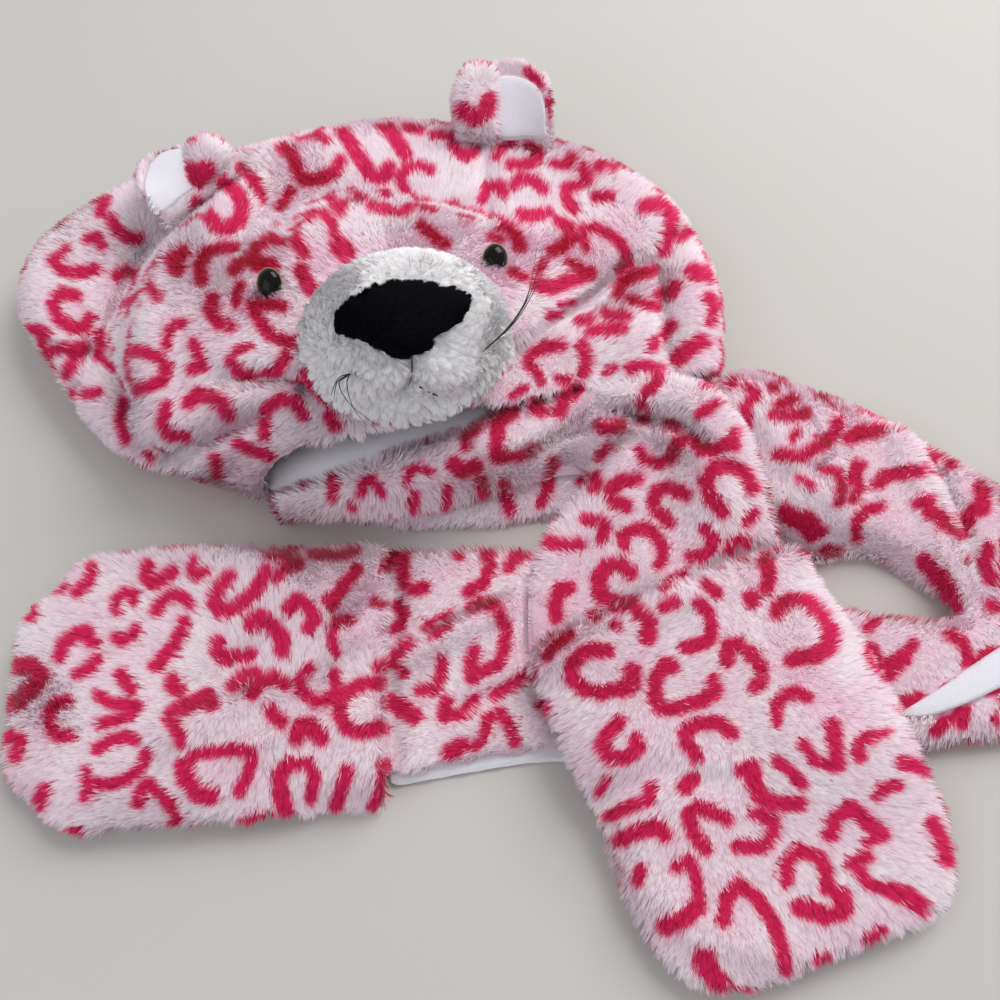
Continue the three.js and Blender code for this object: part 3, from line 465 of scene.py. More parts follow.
# Raised and sunk lines of the cloth: depth in millimetres, width in pixels, and the points they pass
FOLDS = {
    "hood_crown": [
        (-4, 9, (243, 166), (265, 200), (294, 231)),
        (-3, 7, (479, 146), (483, 180), (486, 221)),
        (-3, 9, (300, 205), (340, 190), (380, 185), (418, 200), (463, 211), (490, 215)),
        (3, 15, (300, 240), (340, 216), (380, 212), (418, 224), (463, 236)),
        (-7, 7, (225, 377), (258, 379), (291, 377), (306, 384)),
        (4, 12, (225, 393), (258, 395), (291, 393)),
        (3, 12, (230, 356), (262, 358), (290, 356)),
        (-3, 15, (266, 284), (267, 285)),
        (-3, 14, (496, 255), (497, 256)),
        (-5, 8, (519, 358), (540, 328), (590, 303), (615, 279),
         (631, 264), (656, 259), (673, 237), (689, 228)),
        (4, 14, (520, 330), (560, 300), (600, 282)),
        (-5, 6, (654, 262), (658, 311), (663, 360)),
        (-7, 8, (235, 165), (180, 222), (140, 262), (120, 300), (101, 350), (130, 400)),
        (-6, 7, (122, 400), (132, 435), (172, 460)),
        (-8, 7, (172, 460), (216, 438), (238, 427), (266, 412)),
        (5, 14, (150, 425), (200, 414), (250, 397)),
        (3, 12, (200, 462), (240, 446), (268, 434)),
        (4, 18, (160, 330), (150, 370), (165, 400)),
        (-4, 7, (92, 325), (97, 355), (84, 395)),
        (4, 10, (104, 330), (110, 300), (122, 280)),
        (-4, 7, (60, 355), (75, 362), (92, 352)),
        (-4, 9, (262, 200), (250, 225), (236, 250)),
        (4, 14, (205, 235), (240, 215), (262, 180)),
    ],
    "tail_a": [
        (-9, 8, (540, 456), (560, 442), (583, 424), (598, 409), (637, 415), (680, 419), (697, 437)),
        (-6, 13, (582, 432), (573, 450), (562, 474)),
        (3.5, 13, (480, 442), (520, 432), (555, 420), (590, 396), (650, 392)),
        (3, 10, (610, 426), (650, 430), (690, 445)),
        (-3, 8, (700, 440), (735, 470), (750, 520)),
        (3, 14, (560, 560), (600, 520), (640, 480)),
        (-5, 8, (528, 652), (600, 620), (680, 588), (740, 556), (785, 542)),
    ],
    "tail_b": [
        (7, 15, (395, 668), (440, 642), (500, 612)),
        (-4, 10, (405, 640), (450, 615), (500, 590)),
        (-5, 8, (470, 705), (500, 692), (540, 668)),
        (-9, 7, (918, 432), (940, 470), (962, 520), (980, 575), (990, 604)),
        (5, 12, (896, 440), (920, 490), (942, 540), (962, 592)),
        (-5, 8, (393, 556), (396, 640), (396, 720), (394, 790)),
        (4, 12, (760, 420), (790, 470), (830, 500)),
        (-4, 8, (800, 380), (830, 430), (845, 455), (822, 468)),
        (-3, 9, (790, 480), (830, 470), (860, 490)),
        (-3, 10, (905, 700), (950, 672), (1000, 640)),
    ],
    "pocket_b": [
        (6, 16, (380, 610), (340, 645), (290, 685), (230, 712), (170, 738)),
        (-3, 14, (370, 570), (320, 610), (260, 655), (200, 690)),
        (3, 14, (240, 745), (300, 725), (370, 715)),
    ],
    "pocket_a": [
        (3, 12, (545, 668), (610, 638), (690, 606), (745, 576), (792, 560)),
        (-3, 16, (600, 800), (660, 770), (720, 780)),
        (3, 18, (640, 880), (700, 930), (780, 950)),
    ],
    "muzzle": [
        (-5, 6, (411, 358), (412, 370), (410, 382), (405, 389)),
        (-3.5, 6, (406, 387), (396, 396), (382, 402), (366, 404)),
        (-3.5, 6, (412, 385), (424, 390), (440, 396), (458, 396)),
        (3, 12, (366, 375), (384, 378), (394, 372)),
        (3, 12, (430, 371), (448, 376), (468, 370)),
        (2.5, 14, (350, 300), (385, 266), (430, 262), (470, 280), (488, 310)),
    ],
}


def line_distance(points, line):
    """How far each point lies from a line of points, in the points' own unit."""
    least = np.full(len(points), np.inf)
    for start, end in zip(line, line[1:]):
        start, run = np.array(start, float), np.subtract(end, start).astype(float)
        along = np.clip((points - start) @ run / max(run @ run, 1e-9), 0, 1)
        least = np.minimum(least, np.linalg.norm(points - start - along[:, None] * run, axis=1))
    return least


def field_of(size, marks, wraps=False):
    """A square of distances in pixels to the nearest mark's edge."""
    field = np.full((size, size), FAR)
    for half, *line in marks:
        low = np.floor(np.min(line, axis=0) - MARGIN).astype(int)
        high = np.ceil(np.max(line, axis=0) + MARGIN).astype(int)
        ys, xs = np.mgrid[low[1]:high[1], low[0]:high[0]]
        spot = np.stack([xs.ravel(), ys.ravel()], axis=1).astype(float)
        away = line_distance(spot, line) - half
        inside = np.all((spot >= 0) & (spot < size), axis=1) | wraps
        column = spot[inside, 0].astype(int) % size
        row = spot[inside, 1].astype(int) % size
        np.minimum.at(field, (row, column), away[inside])
    return field


def spare_marks(seed):
    """Marks of the same kinds scattered over the tile."""
    rng = np.random.default_rng(seed)
    jitter = SPARE_MARK["jitter"]
    marks = []
    for row in range(TILE // TILE_STEP):
        for column in range(TILE // TILE_STEP):
            middle = (np.array([column, row]) + 0.5 + rng.uniform(-jitter, jitter, 2)) * TILE_STEP
            turn = rng.uniform(0, 2 * math.pi)
            radius = rng.uniform(*SPARE_MARK["radius"])
            sweep = rng.choice(SWEEPS, p=SWEEP_SHARES)
            angles = turn + np.linspace(0, sweep, SPARE_MARK["points"])
            arc = middle + radius * np.stack([np.cos(angles), np.sin(angles)], axis=1)
            halfway = turn + sweep / 2
            arc -= SPARE_MARK["centring"] * radius * np.array([math.cos(halfway), math.sin(halfway)])
            marks.append((rng.uniform(*SPARE_MARK["half"]), *map(tuple, arc)))
    return marks


SEEN_FIELD = field_of(FRAME, MARKS)
SPARE_FIELD = field_of(TILE, spare_marks(SEEDS["spare"]), wraps=True)


def print_mask(points, normals, seen, rng):
    """How crimson the print is at each point, from 0 to 1."""
    stray = BLEED * (1 + STRAY_MORE * (rng.uniform(0, 1, (len(points), 1)) < STRAYS))
    spot = to_photo(points) + rng.normal(0, 1, (len(points), 2)) * stray
    cell = np.clip(spot, 0, FRAME - 1).astype(int)
    inside = np.all((spot >= 0) & (spot < FRAME), axis=1)
    charted = SEEN_FIELD[cell[:, 1], cell[:, 0]]
    main = np.argmax(np.abs(normals), axis=1)
    first = np.where(main == 0, 1, 0)
    second = np.where(main == 2, 1, 2)
    each = np.arange(len(points))
    plan = np.stack([points[each, first], points[each, second]], axis=1) / PIXEL
    plan = (plan + rng.normal(0, 1, plan.shape) * stray).astype(int) % TILE
    spare = SPARE_FIELD[plan[:, 1], plan[:, 0]]
    away = np.where(seen & inside, charted, spare)
    return smoothstep(-away, *FADE)


# Materials


class Tree:
    """A material's nodes, made and joined in few words."""

    def __init__(self, name, **sockets):
        self.material = bpy.data.materials.new(name)
        self.material.use_nodes = True
        self.nodes = self.material.node_tree.nodes
        self.links = self.material.node_tree.links
        self.shader = self.nodes["Principled BSDF"]
        for socket, value in sockets.items():
            self.shader.inputs[socket.replace("_", " ")].default_value = value

    def node(self, kind, inputs=None, **settings):
        node = self.nodes.new(kind)
        for key, value in settings.items():
            setattr(node, key, value)
        for key, value in (inputs or {}).items():
            self.put(node.inputs[key], value)
        return node

    def put(self, socket, value):
        if isinstance(value, bpy.types.NodeSocket):
            self.links.new(value, socket)
        else:
            socket.default_value = value

    def attribute(self, name):
        return self.node("ShaderNodeAttribute", attribute_name=name).outputs["Fac"]

    def position(self):
        return self.node("ShaderNodeTexCoord").outputs["Object"]

    def noise(self, scale, detail=2.0, roughness=0.5):
        inputs = {"Vector": self.position(), "Scale": scale, "Detail": detail, "Roughness": roughness}
        return self.node("ShaderNodeTexNoise", inputs).outputs["Fac"]

    def math(self, operation, first, second):
        return self.node("ShaderNodeMath", {0: first, 1: second}, operation=operation).outputs[0]

    def mix(self, factor, first, second, blend="MIX"):
        """Mixes two colours, by the numbers of the node's colour sockets."""
        node = self.node("ShaderNodeMix", data_type="RGBA", blend_type=blend)
        for key, value in ((0, factor), (6, first), (7, second)):
            self.put(node.inputs[key], value)
        return node.outputs[2]

    def times(self, first, second):
        return self.mix(1.0, first, second, "MULTIPLY")

    def ramp(self, factor, *stops):
        node = self.node("ShaderNodeValToRGB", {"Fac": factor})
        elements = node.color_ramp.elements
        while len(elements) < len(stops):
            elements.new(0.5)
        for element, (place, colour) in zip(elements, stops):
            element.position = place
            element.color = colour
        return node.outputs["Color"]

    def rise(self, factor, low, high):
        return self.ramp(factor, (low, rgb(0, 0, 0)), (high, WHITE))

    def bump(self, height, strength, distance):
        inputs = {"Height": height, "Strength": strength, "Distance": distance}
        self.put(self.shader.inputs["Normal"], self.node("ShaderNodeBump", inputs).outputs["Normal"])

    def colour(self, value):
        self.put(self.shader.inputs["Base Color"], value)
        return self.material


def rgb(*parts):
    return (*parts, 1.0)


WHITE = rgb(1, 1, 1)
PILE_WHITE = rgb(0.97, 0.915, 0.96)
PILE_WARM = rgb(0.95, 0.76, 0.865)
PILE_HAZE = rgb(0.94, 0.38, 0.57)
PILE_CRIMSON = rgb(0.84, 0.014, 0.15)
# The print's crimson with painted shade, as it shows at a blade's root
PILE_CRIMSON_ROOT_SHADE = rgb(0.62, 0.005, 0.075)


def plush_material(name, root_shade):
    """Long pile with the crimson print, a pink edge round it, and painted shade that darkens each blade and
    its print towards the root.
    """
    tree = Tree(name, Roughness=0.8, Sheen_Weight=0.16, Sheen_Roughness=0.45, Specular_IOR_Level=0.25)
    mask = tree.attribute("mask")
    tip = tree.attribute("tip")
    tone = tree.attribute("tone")
    pale = tree.mix(tree.rise(tree.noise(38), 0.35, 0.7), PILE_WHITE, PILE_WARM)
    # Painted shade: the print darkens from each blade's tip to its root
    deep = tree.mix(tip, PILE_CRIMSON_ROOT_SHADE, PILE_CRIMSON)
    haze = tree.rise(mask, 0.0, 0.32)
    core = tree.rise(mask, 0.3, 0.75)
    colour = tree.mix(core, tree.mix(haze, pale, PILE_HAZE), deep)
    # Painted shade: each blade darkens to a pinkish grey at its root
    dark = tree.mix(tip, rgb(root_shade, root_shade * 0.83, root_shade * 0.88), WHITE)
    strand = tree.ramp(tone, (0.0, rgb(0.86, 0.86, 0.86)), (1.0, WHITE))
    return tree.colour(tree.times(tree.times(colour, dark), strand))


def plain_pile_material(name, root, end, sheen, gloss=0.2):
    """One-colour pile, with painted shade that darkens it towards its roots."""
    tree = Tree(name, Roughness=0.82, Sheen_Weight=sheen, Sheen_Roughness=0.4, Specular_IOR_Level=gloss)
    shade = tree.ramp(tree.noise(280), (0.35, rgb(0.86, 0.86, 0.87)), (0.65, WHITE))
    strand = tree.ramp(tree.attribute("tone"), (0.0, rgb(0.84, 0.84, 0.85)), (0.8, WHITE))
    # Painted shade: the root colour, lightening up to the tip colour
    colour = tree.mix(tree.attribute("tip"), root, end)
    return tree.colour(tree.times(tree.times(colour, shade), strand))


def fleece_material():
    """Short smooth knit: faint loops, soft clouding and a fine bump."""
    tree = Tree("fleece", Roughness=0.88, Sheen_Weight=0.35, Sheen_Roughness=0.5, Specular_IOR_Level=0.2)
    knit = tree.noise(2600, 2.0, 0.6)
    cloud = tree.noise(26, 3.0)
    tree.bump(tree.math("ADD", tree.math("MULTIPLY", cloud, 0.5), knit), 0.8, 0.5 * MM)
    base = tree.mix(cloud, rgb(0.78, 0.78, 0.85), rgb(0.86, 0.86, 0.90))
    grain = tree.ramp(knit, (0.3, rgb(0.9, 0.9, 0.92)), (0.7, WHITE))
    return tree.colour(tree.times(base, grain))


def eye_material():
    """Polished black plastic with a brown depth."""
    tree = Tree("eye_gloss", Roughness=0.05, Specular_IOR_Level=0.3, IOR=1.4)
    return tree.colour(tree.mix(tree.noise(90), rgb(0.0015, 0.001, 0.001), rgb(0.005, 0.003, 0.002)))


def ring_material():
    """Brown plastic of the thin rim round each eye."""
    tree = Tree("eye_ring", Roughness=0.35, Specular_IOR_Level=0.5)
    return tree.colour(tree.mix(tree.noise(300), rgb(0.20, 0.13, 0.08), rgb(0.36, 0.25, 0.16)))


def thread_material(name, dark, light):
    """Twisted thread."""
    tree = Tree(name, Roughness=0.5, Specular_IOR_Level=0.4)
    return tree.colour(tree.mix(tree.noise(1500), dark, light))


def floor_material():
    """Plain pale ground with a faint clouding."""
    tree = Tree("floor", Roughness=0.7, Specular_IOR_Level=0.25)
    tree.bump(tree.noise(160, 3.0), 0.05, 0.4 * MM)
    return tree.colour(tree.mix(tree.noise(3, 4.0), rgb(0.52, 0.51, 0.49), rgb(0.55, 0.54, 0.52)))


PLUSH = plush_material("plush_pile", 0.72)
PLUSH_BASE = plush_material("plush_back", 0.75)
# Each plain pile's first colour is its painted root shade, its second the colour at its tips
WHITE_PILE = plain_pile_material("muzzle_pile", rgb(0.69, 0.675, 0.685), rgb(0.97, 0.965, 0.975), 0.15)
BLACK_PILE = plain_pile_material("nose_pile", rgb(0.001, 0.001, 0.0015), rgb(0.004, 0.004, 0.006), 0.0, 0.06)
FLEECE = fleece_material()
EYE = eye_material()
RING = ring_material()
THREAD = thread_material("black_thread", rgb(0.012, 0.01, 0.01), rgb(0.03, 0.026, 0.025))
SOFT_THREAD = thread_material("soft_thread", rgb(0.03, 0.027, 0.025), rgb(0.09, 0.08, 0.075))
PALE_THREAD = thread_material("pale_thread", rgb(0.8, 0.8, 0.8), rgb(0.92, 0.92, 0.92))


# Meshes


def mesh_of(vertices, faces):
    """A mesh from arrays of points and of equal-sized faces."""
    corners = faces.shape[1]
    mesh = bpy.data.meshes.new("piece")
    mesh.vertices.add(len(vertices))
    mesh.vertices.foreach_set("co", vertices.astype(np.float32).ravel())
    mesh.loops.add(faces.size)
    mesh.loops.foreach_set("vertex_index", faces.astype(np.int32).ravel())
    mesh.polygons.add(len(faces))
    mesh.polygons.foreach_set("loop_start", np.arange(0, faces.size, corners, dtype=np.int32))
    mesh.update(calc_edges=True)
    mesh.shade_smooth()
    return mesh


def placed(name, data):
    obj = bpy.data.objects.new(name, data)
    bpy.context.scene.collection.objects.link(obj)
    return obj


def new_object(name, mesh, *materials):
    obj = placed(name, mesh)
    mesh.materials.clear()
    for material in materials:
        mesh.materials.append(material)
    return obj


def part_of(obj, slot, *nodes):
    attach(obj, "root")
    if nodes:
        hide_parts(*nodes)
    return obj


def set_values(mesh, name, values):
    attribute = mesh.attributes.new(name, "FLOAT", "POINT")
    attribute.data.foreach_set("value", np.asarray(values, np.float32))


def vectors(source, name):
    flat = np.empty(len(source) * 3, np.float32)
    source.foreach_get(name, flat)
    return flat.reshape(-1, 3).astype(float)


def evaluated(obj):
    return bpy.data.meshes.new_from_object(obj.evaluated_get(bpy.context.evaluated_depsgraph_get()))


SAME_POINT = 0.01 * MM


def softened(node, voxel, rounds, swell=0):
    """A plain solid's mesh with its facets rounded away. A thin wall is swollen while it is remeshed."""
    draft = new_object("draft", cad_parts[node].data.copy())

    def add(kind, **settings):
        modifier = draft.modifiers.new(kind.lower(), kind)
        for key, value in settings.items():
            setattr(modifier, key, value)

    if swell or not voxel:
        add("WELD", merge_threshold=SAME_POINT)
    if swell:
        add("DISPLACE", mid_level=0, strength=swell * MM)
    if voxel:
        add("REMESH", mode="VOXEL", voxel_size=voxel * MM)
    else:
        add("SUBSURF", levels=1)
    add("SMOOTH", iterations=rounds, factor=0.5)
    if swell:
        add("DISPLACE", mid_level=0, strength=-swell * MM)
    mesh = evaluated(draft)
    bpy.data.objects.remove(draft)
    return mesh


# The least heights over the floor of cloth and of blades
CLOTH_GAP = 0.2 * MM
BLADE_GAP = 0.3 * MM
# Where folds set in, by how much the cloth faces the camera, and where the underside ends, by its slope
FACING = (0.0, 0.5)
UNDERSIDE = (-0.5, -0.2)
# Rays that tell a hollow's skin: how many, how many must meet cloth, where they start, and how they tilt
PROBES = 8
PROBES_MET = 7
PROBE_START = 0.8 * MM
PROBE_TILT = 0.9
PROBE_RISE = [0, 0, 0.4]


class Cloth:
    """A soft piece's own surface, and what the pile on it needs to know."""

    def __init__(self, name, mesh):
        self.mesh = mesh
        self.object = new_object(name, mesh)
        self.read()
        self.outside = np.ones(len(self.points))
        self.inside = np.zeros(len(self.points), bool)

    def read(self):
        self.points = vectors(self.mesh.vertices, "co")
        self.normals = unit(vectors(self.mesh.vertices, "normal"))
        self.mesh.calc_loop_triangles()
        corners = np.empty(len(self.mesh.loop_triangles) * 3, np.int32)
        self.mesh.loop_triangles.foreach_get("vertices", corners)
        self.triangles = corners.reshape(-1, 3)

    def tree(self):
        return BVHTree.FromPolygons(self.points.tolist(), self.triangles.tolist())

    def write(self):
        self.points[:, 2] = np.maximum(self.points[:, 2], CLOTH_GAP)
        self.mesh.vertices.foreach_set("co", self.points.astype(np.float32).ravel())
        self.mesh.update()
        self.read()

    def pull(self, lines):
        """Draws the cloth along near its lines, with both its sides."""
        spot = to_photo(self.points)
        for shift, width, least, *line in lines:
            away = line_distance(spot, line) / width
            high_enough = smoothstep(self.points[:, 2], least * MM, (least + PULL_RISE) * MM)
            weight = np.exp(-away * away) * high_enough
            self.points += np.array(shift) * MM * weight[:, None]
        self.write()

    def fold(self, lines):
        """Moves the side that the photograph sees in or out along its lines."""
        spot = to_photo(self.points)
        toward = unit(CAMERA - self.points)
        outward = np.where(self.inside[:, None], -self.normals, self.normals)
        moves = np.maximum(self.outside, self.inside)
        facing = smoothstep(np.sum(outward * toward, axis=1), *FACING)
        shift = np.zeros(len(self.points))
        for depth, width, *line in lines:
            away = line_distance(spot, line) / width
            shift += depth * MM * np.exp(-away * away)
        self.points += outward * (shift * facing * moves)[:, None]
        self.write()

    def find_outside(self, hollow):
        """Tells the outer skin from the skin inside a hollow, which its own solid covers on most sides."""
        self.outside = smoothstep(self.normals[:, 2], *UNDERSIDE)
        if not hollow:
            return
        tree = self.tree()
        turns = np.arange(PROBES) * 2 * math.pi / PROBES
        tilts = [np.array([math.cos(turn), math.sin(turn), 0]) for turn in turns]
        for k, (point, normal) in enumerate(zip(self.points, self.normals)):
            start = Vector(point + PROBE_START * normal)
            hits = 0
            for tilt in tilts:
                ray = normal + PROBE_TILT * tilt + PROBE_RISE
                hits += tree.ray_cast(start, Vector(ray).normalized())[0] is not None
            self.inside[k] = hits >= PROBES_MET
        self.outside[self.inside] = 0


# Each cloth's cell in millimetres, its rounds of smoothing, whether it is hollow, and its swelling
CLOTHS = {
    "hood_crown": (3.1, 5, True, 1.3),
    "tail_a": (3.6, 3, False),
    "tail_b": (3.8, 3, False),
    "pocket_a": (3.2, 3, False),
    "pocket_b": (3.2, 3, False),
    "scarf_nape": (3.4, 3, False),
    "ear_left": (2.0, 3, False),
    "ear_right": (2.0, 3, False),
    "muzzle": (2.8, 5, False),
    "nose": (1.8, 2, False),
}
cloths = {}
for node, (voxel, rounds, hollow, *swell) in CLOTHS.items():
    cloth = Cloth(f"{node}_cloth", softened(node, voxel, rounds, *swell))
    cloth.find_outside(hollow)
    cloth.pull(PULLS.get(node, []))
    cloth.fold(FOLDS.get(node, []))
    cloths[node] = cloth


def at_height(px, py, height):
    """The point that a pixel of the frame shows at a height in millimetres."""
    ray = sight(px, py)
    return CAMERA + ray * (height * MM - CAMERA[2]) / ray[2]


def seen_on(tree, px, py):
    """The point of a surface that a pixel of the frame shows."""
    return tree.ray_cast(Vector(CAMERA), Vector(sight(px, py)))[0]


def ring_faces(rings, sides):
    """Four-sided faces between rings of points."""
    grid = np.arange(rings * sides).reshape(rings, sides)
    nexts = np.roll(grid, -1, axis=1)
    return np.stack([grid[:-1], nexts[:-1], nexts[1:], grid[1:]], axis=-1).reshape(-1, 4)


def smooth_line(points, steps):
    """A line through points with rounded turns."""
    points = np.array(points, float)
    padded = np.concatenate([[2 * points[0] - points[1]], points, [2 * points[-1] - points[-2]]])
    line = []
    for k in range(len(points) - 1):
        p0, p1, p2, p3 = padded[k:k + 4]
        for t in np.linspace(0, 1, steps, endpoint=False):
            line.append(
                0.5 * (2 * p1 + (p2 - p0) * t + (2 * p0 - 5 * p1 + 4 * p2 - p3) * t * t
                       + (3 * p1 - p0 - 3 * p2 + p3) * t ** 3)
            )
    line.append(points[-1])
    return np.array(line)


# The hood's lining where its mouth shows it: at each station the pixels and heights of its two edges
LINING_STATIONS = [
    ((262, 486, 14), (266, 458, 18)),
    ((300, 492, 26), (300, 438, 26)),
    ((345, 478, 32), (345, 420, 30)),
    ((400, 456, 35), (400, 410, 31)),
    ((450, 446, 35), (450, 400, 31)),
    ((500, 432, 35), (500, 388, 31)),
    ((545, 419, 35), (545, 374, 30)),
    ((592, 402, 34), (592, 366, 30)),
]
# The lining that turns out along the scarf's return, as the pixels of its two edges
TURN_STATIONS = [
    ((902, 717), (904, 711)), ((925, 717), (926, 698)), ((950, 710), (950, 682)),
    ((975, 700), (975, 664)), ((1000, 688), (1000, 648)), ((1012, 684), (1012, 642)),
]
# How the two sheets are made: steps between stations, rows across, and the rest in millimetres
LINING_FORM = {"steps": 6, "rows": 12, "thickness": 2.6, "swell": 5.0, "ripple": 0.8}
TURN_FORM = {"steps": 6, "rows": 9, "thickness": 2.4, "swell": 1.2, "ripple": 0.3}
# How far their ripples turn along the sheet and slant across it, in radians
RIPPLE_TURNS = 9
RIPPLE_SLANT = 2


def ribbon(front, back, form):
    """A smooth knit sheet between two lines, swelling a little at its middle."""
    front = smooth_line(front, form["steps"])
    back = smooth_line(back, form["steps"])
    columns = len(front)
    rows = form["rows"]
    layers = []
    for drop in (0, form["thickness"]):
        for v in np.linspace(0, 1, rows):
            row = front * (1 - v) + back * v
            swell = form["swell"] * math.sin(math.pi * v) * np.sin(np.linspace(0, math.pi, columns))
            waves = np.sin(np.linspace(0, RIPPLE_TURNS, columns) + RIPPLE_SLANT * v)
            ripple = form["ripple"] * waves * math.sin(math.pi * v)
            row[:, 2] += (swell + ripple - drop) * MM
            layers.append(row)
    grid = np.arange(2 * rows * columns).reshape(2, rows, columns)
    faces = []
    for side, order in ((0, 1), (1, -1)):
        g = grid[side]
        quads = np.stack([g[:-1, :-1], g[:-1, 1:], g[1:, 1:], g[1:, :-1]], axis=-1).reshape(-1, 4)
        faces.append(quads[:, ::order])
    top = np.concatenate([grid[0, 0], grid[0, 1:, -1], grid[0, -1, -2::-1], grid[0, -2:0:-1, 0]])
    low = np.concatenate([grid[1, 0], grid[1, 1:, -1], grid[1, -1, -2::-1], grid[1, -2:0:-1, 0]])
    faces.append(np.stack([top, low, np.roll(low, -1), np.roll(top, -1)], axis=-1))
    return facing_out(mesh_of(np.concatenate(layers), np.concatenate(faces)))


# A pad: the rings of its upper side, the steps between its outline's points, and the way it swells
PAD_RINGS = 12
PAD_STEPS = 8
PAD_UP = np.array([0, -0.35, 0.94])
PAD_GAP = 0.2 * MM
# Its rings as shares of the outline: the innermost one, and those of its underside with their depths
PAD_HUB = 0.02
PAD_UNDER = [(0.97, 1.4), (0.6, 1.6), (PAD_HUB, 1.6)]
# The height in millimetres that is tried first where a pad reaches past its cloth
PAD_HEIGHT = 60


def pad_on(surface, outline, lift, blunt):
    """A rounded pad lying on a cloth: its outline in pixels, and how high it swells in millimetres."""
    tree = surface.tree()
    edge = smooth_line([*outline, outline[0]], PAD_STEPS)[:-1]
    middle = edge.mean(axis=0)
    layers = []

    def landing(px, py):
        place = seen_on(tree, px, py)
        if place is not None:
            return np.array(place)
        ray = sight(px, py)
        near = tree.find_nearest(Vector(at_height(px, py, PAD_HEIGHT)))[0]
        return CAMERA + ray * ((near.z - CAMERA[2]) / ray[2])

    def ring_at(share):
        return np.array([landing(*(middle + (spot - middle) * share)) for spot in edge])

    for share in np.linspace(PAD_HUB, 1, PAD_RINGS):
        rise = lift * MM * (1 - share ** blunt) ** 0.5
        layers.append(ring_at(share) + PAD_UP * (rise + PAD_GAP))
    for share, depth in PAD_UNDER:
        layers.append(ring_at(share) - PAD_UP * depth * MM)
    count = len(edge)
    grid = np.arange(len(layers) * count).reshape(-1, count)
    nexts = np.roll(grid, -1, axis=1)
    faces = np.stack([grid[:-1], grid[1:], nexts[1:], nexts[:-1]], axis=-1).reshape(-1, 4)
    fans = []
    points = np.concatenate(layers)
    for k, ring in ((0, grid[0]), (-1, grid[-1])):
        hub = len(points)
        points = np.concatenate([points, points[ring].mean(axis=0)[None]])
        pair = (ring, np.roll(ring, -1)) if k == 0 else (np.roll(ring, -1), ring)
        fans.append(np.stack([*pair, np.full(count, hub), np.full(count, hub)], axis=-1))
    return closed_mesh(points, faces, fans)


def facing_out(mesh):
    """Turns a closed mesh's faces outward."""
    points = vectors(mesh.vertices, "co")
    mesh.calc_loop_triangles()
    corners = np.array([t.vertices for t in mesh.loop_triangles])
    a, b, c = (points[corners[:, k]] for k in range(3))
    if np.sum(a * np.cross(b, c)) < 0:
        mesh.flip_normals()
    return mesh


def closed_mesh(points, quads, fans):
    """A mesh of four-sided faces with fans of three-sided ones over its two ends."""
    rows = [tuple(face) for face in quads.tolist()]
    for fan in fans:
        rows += [tuple(face[:3]) for face in fan.tolist()]
    mesh = bpy.data.meshes.new("pad")
    mesh.from_pydata(points.tolist(), [], rows)
    mesh.update()
    return facing_out(mesh)


# The ears as they lie, a plush lobe rolled over each and the smooth lining beside it: the cloth below,
# how high the pad swells in millimetres, how bluntly, and its outline in pixels
EAR_PADS = {
    "ear_right_lobe": (
        "ear_right", 8.0, 2.6,
        [(457, 84), (468, 69), (484, 66), (494, 74), (497, 94), (498, 120),
         (497, 140), (484, 141), (466, 134), (457, 118), (455, 100)],
    ),
    "ear_left_lobe": (
        "ear_left", 7.0, 2.6,
        [(187, 152), (195, 142), (208, 139), (222, 145), (230, 158),
         (226, 170), (214, 180), (200, 192), (193, 182), (189, 168)],
    ),
    "ear_right_lining_cloth": (
        "ear_right", 2.4, 8.0,
        [(486, 82), (504, 76), (524, 79), (538, 88), (544, 102),
         (546, 122), (545, 138), (526, 139), (500, 139), (490, 118)],
    ),
    "ear_left_lining_cloth": (
        "ear_left", 2.4, 8.0,
        [(150, 164), (162, 153), (180, 149), (194, 154), (198, 172), (196, 188),
         (180, 200), (166, 212), (154, 214), (147, 202), (144, 184)],
    ),
}
pads = {}
for name, (node, lift, blunt, outline) in EAR_PADS.items():
    pads[name] = Cloth(name, pad_on(cloths[node], outline, lift, blunt))
hood_edges = [[at_height(*ends[side]) for ends in LINING_STATIONS] for side in (0, 1)]
TURN_LIFT = np.array([0, 0, 2.0]) * MM
return_tree = cloths["tail_b"].tree()
turn_edges = [
    [np.array(seen_on(return_tree, *ends[side])) + TURN_LIFT for ends in TURN_STATIONS]
    for side in (0, 1)
]
linings = {
    "hood_lining": Cloth("hood_lining_sheet", ribbon(*hood_edges, LINING_FORM)),
    "ear_left_lining": pads.pop("ear_left_lining_cloth"),
    "ear_right_lining": pads.pop("ear_right_lining_cloth"),
    "tail_b_lining": Cloth("tail_b_lining_cloth", softened("tail_b_lining", 0, 1)),
    "tail_b_lining_turn": Cloth("tail_b_lining_turn_cloth", ribbon(*turn_edges, TURN_FORM)),
}
linings["tail_b_lining"].pull(PULLS["tail_b_lining"])

# What stands over each point: whether the photograph sees it, and how much room the pile has
everything = [*cloths.values(), *pads.values(), *linings.values()]
starts = np.cumsum([0] + [len(c.points) for c in everything])
WORLD = BVHTree.FromPolygons(
    np.concatenate([c.points for c in everything]).tolist(),
    np.concatenate([c.triangles + s for c, s in zip(everything, starts)]).tolist(),
)
ROOM = 9 * MM
# How far off the cloth the rays start
OFF_CLOTH = 0.6 * MM
